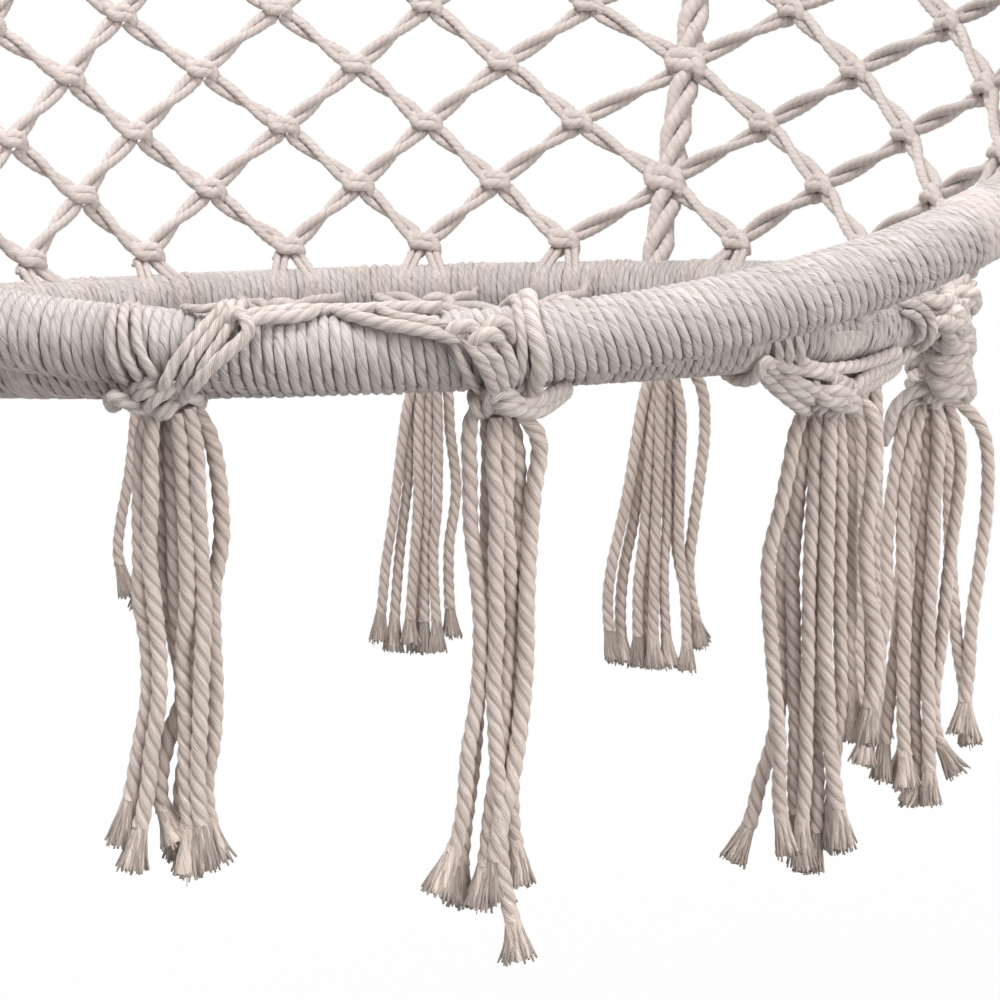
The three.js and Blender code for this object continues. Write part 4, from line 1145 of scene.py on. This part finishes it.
generator = np.random.default_rng(41)
for name, (angle, drop) in TIES.items():
    knot_place = seat_hoop.middle(angle) - np.array([0, 0, TIE_DROP * drop])
    knot_places[name] = knot_place
    lines = [overhand_knot(knot_place, angle, 0.030, 0.021, 0.022, generator.uniform(0, 6))]
    for route, (girth, places) in TIE_ROUTES.get(name, {}).items():
        points = [knot_place + np.array([x, -out, up]) / 1000 for x, out, up in places]
        if route.startswith("round"):
            points = round_from_behind(points[0]) + points
        line = smooth_line(points, CORD_STEP)
        lines.append((line, tucked_ends(line, girth)))
    for x, out, up, size in SQUARE_KNOTS.get(name, ()):
        place = knot_place + np.array([x, -out, up]) / 1000
        knot = Knot(place, np.array([1.0, 0.2, 0]), np.array([0, 0, 1.0]), size)
        lines += knot_lines(knot, generator)
    for side in (-1, 1):
        for order in range(0 if name in TIE_ROUTES else TIE_LEGS):
            foot = TIE_FOOT - TIE_FOOT_STEP * order
            leg_angle = angle + side * math.degrees(foot / SEAT_RADIUS)
            route = [knot_place + 0.002 * (order - 1) * seat_hoop.outward(angle)]
            for step in range(LEG_STEPS + 1):
                section = TIE_WRAP_START + TIE_WRAP * step / LEG_STEPS
                shift = side * 0.0006 * step + generator.normal(0, 0.0003)
                route.append(seat_hoop.surface(leg_angle, section, WOUND - 0.001, shift))
            line = smooth_line(route, ROPE_STEP)
            girth = np.interp(np.linspace(0, 1, len(line)), (0, 0.5, 1), (1, 0.85, 0.6))
            lines.append((line, girth))
    tie = lay_cords(f"tie_cords_{name}", lines, tie_cotton, TIE_CORD, TIE_PLY_TURN, sides=10)
    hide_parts(f"tie_{name}")
    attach(tie, "seat")


# Tassels: bundles of loose three-ply cotton cords that hang from the knots. Their cut ends
# are frayed into tufts, and no two are alike.
STRAND = 0.0077
STRAND_TURN, STRAND_PLY_DEPTH = 0.0235, 0.1
STRAND_WAVE, STRAND_STEP = 0.8, 0.0021
NECK_DROP = 0.0198
NECK_BEND = np.array([0, 0, 0.012])
LASHING_LEAD = 12
TUFT_LENGTH = 0.022
BRUSH_LENGTH = 0.97
BRUSH_FLARE = (0.85, 0.9, 0.98, 1.1, 1.24, 1.38, 1.42)
LOCKS, HAIRS = 40, 4
LOCK_CORD = 0.0015
LOCK_FLARE = (0.9, 1.1, 1.15, 1.15, 1.1, 1.0, 0.75)
LOCK_SPREAD, HAIR_SPREAD = 0.0044, 0.0060
LOCK_CURL, HAIR_CURL = 0.0007, 0.0016
SUNFLOWER_TURN = 2.39996
tassel_cotton = natural_cotton("tassel_cotton", (0.90, 0.78, 0.715, 1), (0.55, 0.45, 0.39, 1), 0.65)
tuft_cotton = natural_cotton("tuft_cotton", (0.82, 0.705, 0.625, 1), (0.55, 0.445, 0.385, 1), 0.0)
# Of each strand, how far it stands forward, and its places across and down from the neck, in mm.
STRAND_TABLES = {
    "front_left": (
        (6, ((-9, -13), (-12, 3), (-14, 25), (-15, 47), (-16, 69), (-14, 90), (-15, 112), (-19, 130),
            (-23, 149), (-29, 173))),
        (10, ((-6, -13), (-8, 3), (-9, 24), (-11, 46), (-10, 68), (-9, 90), (-10, 112), (-14, 133),
            (-17, 153), (-25, 184))),
        (-3, ((-3, -12), (-5, 17), (-6, 44), (-6, 70), (-3, 88), (1, 110), (1, 133), (-3, 155),
            (-3, 183))),
        (2, ((1, -12), (0, 17), (0, 43), (-1, 69), (-1, 92), (0, 112), (-6, 127), (-11, 144),
            (-11, 160), (-3, 178))),
        (9, ((4, -13), (5, 16), (5, 42), (4, 69), (1, 95), (1, 121), (0, 148), (1, 187))),
        (12, ((9, -15), (11, 3), (11, 25), (11, 51), (11, 73), (9, 99), (7, 125), (5, 152), (7, 186))),
        (3, ((11, -14), (16, -4), (19, 11), (20, 33), (19, 47), (15, 66), (14, 88), (14, 110),
            (12, 132), (8, 154), (11, 186))),
        (-6, ((6, -11), (9, 14), (9, 45), (7, 71), (4, 107), (2, 142), (-7, 186))),
    ),
    "front_right": (
        (8, ((-12, -14), (-15, -3), (-15, 17), (-15, 39), (-13, 61), (-12, 82), (-14, 111), (-19, 137),
            (-22, 163), (-27, 181), (-37, 197))),
        (-5, ((-7, -9), (-6, 8), (-7, 29), (-8, 56), (-10, 83), (-13, 113), (-16, 144), (-21, 175),
            (-25, 209))),
        (9, ((-4, -9), (-5, 10), (-4, 32), (-5, 54), (-5, 80), (-7, 106), (-7, 133), (-6, 159),
            (-6, 184), (-4, 202), (1, 229))),
        (4, ((0, -10), (1, 11), (0, 33), (1, 55), (1, 81), (-2, 108), (-4, 134), (-9, 160), (-12, 182),
            (-16, 207))),
        (0, ((4, -7), (6, 12), (6, 29), (6, 51), (6, 78), (4, 104), (2, 131), (0, 153), (0, 175),
            (4, 200))),
        (7, ((7, -9), (13, -2), (15, 7), (12, 25), (10, 47), (8, 72), (7, 99), (4, 125), (0, 147),
            (-6, 169), (-9, 191), (-9, 204))),
    ),
    "right_1": (
        (8, ((-8, -18), (-13, -8), (-17, 9), (-22, 30), (-27, 48), (-28, 67), (-27, 91), (-25, 120),
            (-24, 144), (-24, 168), (-21, 195))),
        (-4, ((-4, -13), (-10, 8), (-16, 36), (-19, 60), (-20, 84), (-20, 113), (-25, 142), (-31, 161),
            (-37, 183), (-48, 197))),
        (2, ((-4, -15), (-10, 7), (-13, 35), (-15, 59), (-15, 83), (-15, 112), (-15, 136), (-16, 163),
            (-14, 194))),
        (9, ((-3, -17), (-5, 7), (-6, 25), (-8, 49), (-9, 73), (-10, 101), (-11, 130), (-12, 161),
            (-16, 199))),
        (1, ((1, -15), (0, 12), (-2, 41), (-4, 69), (-5, 103), (-5, 137), (-5, 166), (-7, 203))),
        (10, ((2, -16), (1, 7), (0, 35), (-1, 63), (-2, 92), (-1, 120), (0, 145), (2, 164), (6, 191))),
        (3, ((7, -16), (8, 8), (8, 36), (7, 65), (7, 93), (7, 122), (4, 146), (2, 168), (1, 193))),
        (-3, ((13, -16), (14, 13), (14, 47), (13, 80), (12, 104), (14, 138))),
        (6, ((17, -21), (22, -14), (24, -1), (22, 22), (19, 46), (20, 70), (23, 89), (22, 113),
            (15, 144))),
    ),
    "right_2": (
        (8, ((-8, -21), (-14, -8), (-18, 15), (-22, 40), (-23, 61), (-23, 82), (-27, 108), (-29, 134),
            (-39, 168))),
        (2, ((-4, -17), (-6, 11), (-7, 37), (-11, 63), (-15, 94), (-19, 120), (-22, 146), (-26, 176))),
        (9, ((-4, -19), (-10, 5), (-14, 30), (-15, 56), (-14, 87), (-15, 119), (-15, 153), (-13, 183))),
        (3, ((1, -18), (-1, 11), (-3, 42), (-4, 73), (-7, 105), (-8, 136), (-7, 163), (-7, 192))),
        (9, ((4, -19), (4, 5), (2, 31), (1, 57), (-1, 88), (-2, 119), (-2, 151), (-2, 190))),
        (4, ((10, -19), (15, -4), (17, 12), (14, 37), (11, 63), (8, 89), (6, 110), (2, 136), (5, 159),
            (18, 175))),
        (-4, ((5, -17), (5, 22), (1, 64), (-2, 106), (-9, 148), (-16, 182))),
    ),
    "right_3": (
        (3, ((2, -15), (22, -2), (33, 16), (34, 49), (30, 82), (25, 116), (23, 149), (17, 181))),
        (-2, ((3, -15), (10, 3), (14, 28), (14, 61), (15, 94), (18, 128), (22, 156), (24, 186))),
        (5, ((-1, -15), (-4, 20), (-7, 59), (-9, 103), (-14, 153))),
        (0, ((4, -15), (4, 21), (2, 60), (0, 104), (-3, 160))),
        (-4, ((1, -15), (-8, 21), (-10, 60), (-14, 104), (-17, 155))),
    ),
    "right_4": (
        (3, ((-4, -15), (-10, 20), (-12, 67), (-13, 114), (-14, 162), (-16, 204))),
        (6, ((-2, -15), (-6, 20), (-7, 66), (-9, 114), (-9, 162), (-11, 206))),
        (-2, ((2, -15), (0, 21), (0, 68), (-2, 115), (-1, 163), (-2, 211))),
        (4, ((2, -15), (4, 20), (3, 67), (3, 115), (3, 162), (4, 209))),
        (-5, ((1, -14), (-2, 33), (-3, 92), (-4, 152), (-5, 209))),
    ),
    "right_5": (
        (5, ((-5, -14), (-14, 18), (-19, 43), (-25, 75), (-31, 101), (-37, 124), (-40, 150),
            (-38, 186))),
        (-3, ((-2, -13), (-10, 19), (-15, 57), (-21, 96), (-28, 128), (-31, 158), (-30, 189))),
        (3, ((-2, -14), (-7, 18), (-11, 57), (-15, 102), (-20, 141), (-21, 189))),
        (7, ((-1, -14), (-3, 18), (-5, 56), (-8, 102), (-10, 147), (-12, 193))),
        (2, ((1, -13), (3, 19), (1, 57), (0, 96), (-3, 135), (-1, 194))),
        (-4, ((4, -13), (9, 19), (7, 58), (6, 97), (8, 123), (14, 150), (23, 180))),
        (6, ((2, -14), (10, 25), (9, 64), (7, 109), (10, 148), (11, 197))),
        (0, ((5, -13), (23, 8), (26, 36), (22, 71), (17, 104), (14, 136), (21, 181))),
        (-7, ((1, -13), (-5, 32), (-9, 84), (-12, 136), (-15, 194))),
    ),
    "rear": (
        (5, ((-3, -13), (-13, 18), (-18, 44), (-22, 71), (-27, 101), (-32, 128), (-35, 151),
            (-39, 178))),
        (0, ((-1, -13), (-12, 32), (-15, 72), (-20, 105), (-24, 135), (-29, 183))),
        (6, ((0, -13), (-6, 18), (-9, 85), (-13, 125), (-19, 184))),
        (2, ((1, -13), (0, 19), (-3, 85), (-6, 126), (-8, 187))),
        (5, ((2, -13), (6, 19), (4, 85), (0, 125), (1, 185))),
        (-2, ((4, -12), (13, 10), (14, 40), (17, 73), (15, 95), (11, 117), (10, 147), (11, 179))),
        (-5, ((0, -12), (-4, 39), (-8, 113), (-13, 188))),
    ),
    "left_5": (
        (3, ((0, -14), (1, 9), (-2, 35), (-6, 60), (-12, 86), (-15, 106), (-13, 120), (-9, 133))),
        (6, ((3, -14), (7, 15), (5, 60), (2, 99), (-1, 142))),
        (0, ((4, -13), (13, 16), (12, 61), (12, 101), (8, 148))),
        (4, ((5, -14), (18, 16), (18, 61), (17, 107), (17, 147))),
        (-4, ((2, -13), (9, 16), (8, 62), (6, 101), (3, 147))),
    ),
}
# The tassels outside the view: their number of strands and their share of the full length.
FREE_LENGTH = 190
FREE_TASSELS = {"left_4": (9, 1.02), "left_3": (9, 1), "left_2": (9, 1), "left_1": (9, 1.05)}


def joined(first, second):
    """Two pieces in one mesh, each with its own finish."""
    own = len(first.data.materials)
    for material in second.data.materials:
        first.data.materials.append(material)
    for face in second.data.polygons:
        face.material_index += own
    whole = bmesh.new()
    whole.from_mesh(first.data)
    whole.from_mesh(second.data)
    whole.to_mesh(first.data)
    whole.free()
    bpy.data.objects.remove(second)
    return first


def free_strands(count, length_share, generator, order):
    """Strands that open out evenly below the neck."""
    rows = []
    for index in range(count):
        turn = index * SUNFLOWER_TURN + order
        root = 3.6 * math.sqrt(index + 0.3)
        spread = 16.5 * math.sqrt((index + 0.5) / count)
        length = FREE_LENGTH * length_share * generator.uniform(0.86, 1.0) - 20
        drift = generator.normal(0, 1.6, (10, 2))
        places = []
        for step in range(10):
            share = step / 9
            reach = root + (spread - root) * math.sin(share * math.pi / 2)
            x, y = reach * math.cos(turn) + drift[step][0], reach * math.sin(turn) + drift[step][1]
            places.append((x, y, -13 + (length + 13) * share))
        rows.append(places)
    return rows


def tuft(end, heading, generator):
    """The cut end of a strand: a brush, and the locks and single fibres that open out round it."""
    side = unit(np.cross(heading, [0.31, 0.95, 0.05]))
    face = np.cross(heading, side)
    bend = generator.normal(0, 0.0016, 3)
    lean = generator.uniform(0.85, 1.15)
    shares = np.linspace(0, 1, 7)
    core = [end + heading * (TUFT_LENGTH * BRUSH_LENGTH * s - 0.003) + bend * s * s for s in shares]
    brush = np.array(core), np.array(BRUSH_FLARE) * lean
    locks = []
    for order in range(LOCKS + HAIRS):
        hair = order >= LOCKS
        turn = order * SUNFLOWER_TURN
        reach = math.sqrt((order % LOCKS + 8) / (LOCKS + 8))
        spoke = math.cos(turn) * side + math.sin(turn) * face
        length = TUFT_LENGTH * generator.uniform(0.93, 1.01)
        open_out = generator.uniform(0.75, 1.25) * (HAIR_SPREAD if hair else LOCK_SPREAD) * reach * lean
        curl = generator.normal(0, HAIR_CURL if hair else LOCK_CURL, 3)
        points = []
        for share in shares:
            off = 0.0027 * reach + open_out * share**1.4
            place = end + heading * (length * share - 0.002) + spoke * off
            points.append(place + bend * share**2 + curl * share**3)
        size = 0.4 if hair else generator.uniform(0.85, 1.15)
        locks.append((np.array(points), np.array(LOCK_FLARE) * size))
    return brush, locks


for order, name in enumerate(knot_places):
    generator = np.random.default_rng(100 + order)
    neck = knot_places[name] - np.array([0, 0, NECK_DROP])
    if name in STRAND_TABLES:
        rows = []
        for forward, places in STRAND_TABLES[name]:
            lead = LASHING_LEAD if name in LASHINGS else 0
            wave = generator.normal(0, STRAND_WAVE, len(places))
            rows.append([
                (x, -forward - lead * max(0, 1 - step / 4) + wave[step], drop)
                for step, (x, drop) in enumerate(places)
            ])
    else:
        rows = free_strands(*FREE_TASSELS[name], generator, order)
    strands, brushes, locks = [], [], []
    for places in rows:
        line = smooth_line([neck + np.array([x, y, -drop]) / 1000 for x, y, drop in places], STRAND_STEP)
        heading = unit(line[-1] - line[-5])
        travelled = np.cumsum(np.r_[0, np.linalg.norm(np.diff(line, axis=0), axis=1)])
        line = line[travelled < travelled[-1] - TUFT_LENGTH * 0.8]
        girth = np.ones(len(line)) * generator.uniform(0.93, 1.05)
        girth[:5] *= np.linspace(0.75, 1, 5)
        girth[-4:] *= (1.0, 1.02, 1.06, 1.1)
        strands.append((line, girth))
        brush, loose = tuft(line[-1], unit(line[-1] - line[-4]) * 0.6 + heading * 0.4, generator)
        brushes.append(brush)
        locks += loose
    tassel = lay_cords(
        f"tassel_strands_{name}", strands, tassel_cotton, STRAND, STRAND_TURN, ply_depth=STRAND_PLY_DEPTH
    )
    brush_skin = lay_cords("brushes", brushes, tuft_cotton, STRAND, 0.09, plies=5, ply_depth=0.05, sides=20)
    lock_skin = lay_cords("locks", locks, tuft_cotton, LOCK_CORD, 0.02, plies=2, ply_depth=0.12, sides=6)
    tassel = joined(joined(tassel, brush_skin), lock_skin)
    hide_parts(f"tassel_{name}")
    holder = "sling" if name in LASHINGS else "seat"
    tuple(neck + NECK_BEND)
    tuple(neck - NECK_BEND)
    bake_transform(tassel)


# Studio: a plain pale floor under the hanging chair, an even white world and three soft lamps.
# The camera sees the floor as nearly white, and quite white from some way off.
FLOOR_HEIGHT, FLOOR_REACH = -1.75, 9
FLOOR_GREY = 0.45
FLOOR_SHADE = 0.04
FADE_NEAR, FADE_FAR = 1.9, 3.2
WORLD_LIGHT = 0.5
floor, floor_shader, start = new_finish("floor", 0.9)
floor_shader.inputs["Base Color"].default_value = (FLOOR_GREY, FLOOR_GREY, FLOOR_GREY, 1)
ways = ((-1, -1), (1, -1), (1, 1), (-1, 1))
corners = [(x * FLOOR_REACH, y * FLOOR_REACH, FLOOR_HEIGHT) for x, y in ways]
ground = piece_from("floor", corners, [(0, 1, 2, 3)], floor, smooth=False)
seen = start.node("ShaderNodeLightPath", outlet=0)
white = start.node("ShaderNodeEmission", Color=(1, 1, 1, 1), Strength=1.0)
place = start.node("ShaderNodeTexCoord", outlet=3)
far = start.node("ShaderNodeVectorMath", {"operation": "LENGTH"}, i0=place, outlet=1)
faded = far.spread(FADE_NEAR, FADE_FAR) * FLOOR_SHADE + (1 - FLOOR_SHADE)
mix = floor.node_tree.nodes.new("ShaderNodeMixShader")
connect(seen * faded, mix, 0)
floor.node_tree.links.new(floor_shader.outputs[0], mix.inputs[1])
connect(white, mix, 2)
floor.node_tree.links.new(mix.outputs[0], floor.node_tree.nodes["Material Output"].inputs[0])

world = bpy.data.worlds.new("studio")
bpy.context.scene.world = world
world.use_nodes = True
background = world.node_tree.nodes["Background"]
background.inputs["Color"].default_value = (1, 1, 1, 1)
rays = Surface(world.node_tree, None).node("ShaderNodeLightPath", outlet=0)
connect(rays * (1 - WORLD_LIGHT) + WORLD_LIGHT, background, "Strength")


def soft_lamp(name, place, aim, size, power):
    lamp = bpy.data.objects.new(name, bpy.data.lights.new(name, "AREA"))
    lamp.data.size = size
    lamp.data.energy = power
    lamp.location = place
    lamp.rotation_euler = (Vector(aim) - Vector(place)).to_track_quat("-Z", "Y").to_euler()
    bpy.context.scene.collection.objects.link(lamp)


SEAT_EDGE = (0, -0.2, -0.95)
soft_lamp("key", (-0.75, -1.05, 1.8), SEAT_EDGE, 1.4, 106)
soft_lamp("fill", (1.5, -1.8, -0.4), SEAT_EDGE, 1.6, 38)
soft_lamp("back", (-0.6, 2.2, 0.5), (0, 0, -0.9), 2.0, 45)
bpy.context.scene.view_settings.view_transform = "Standard"
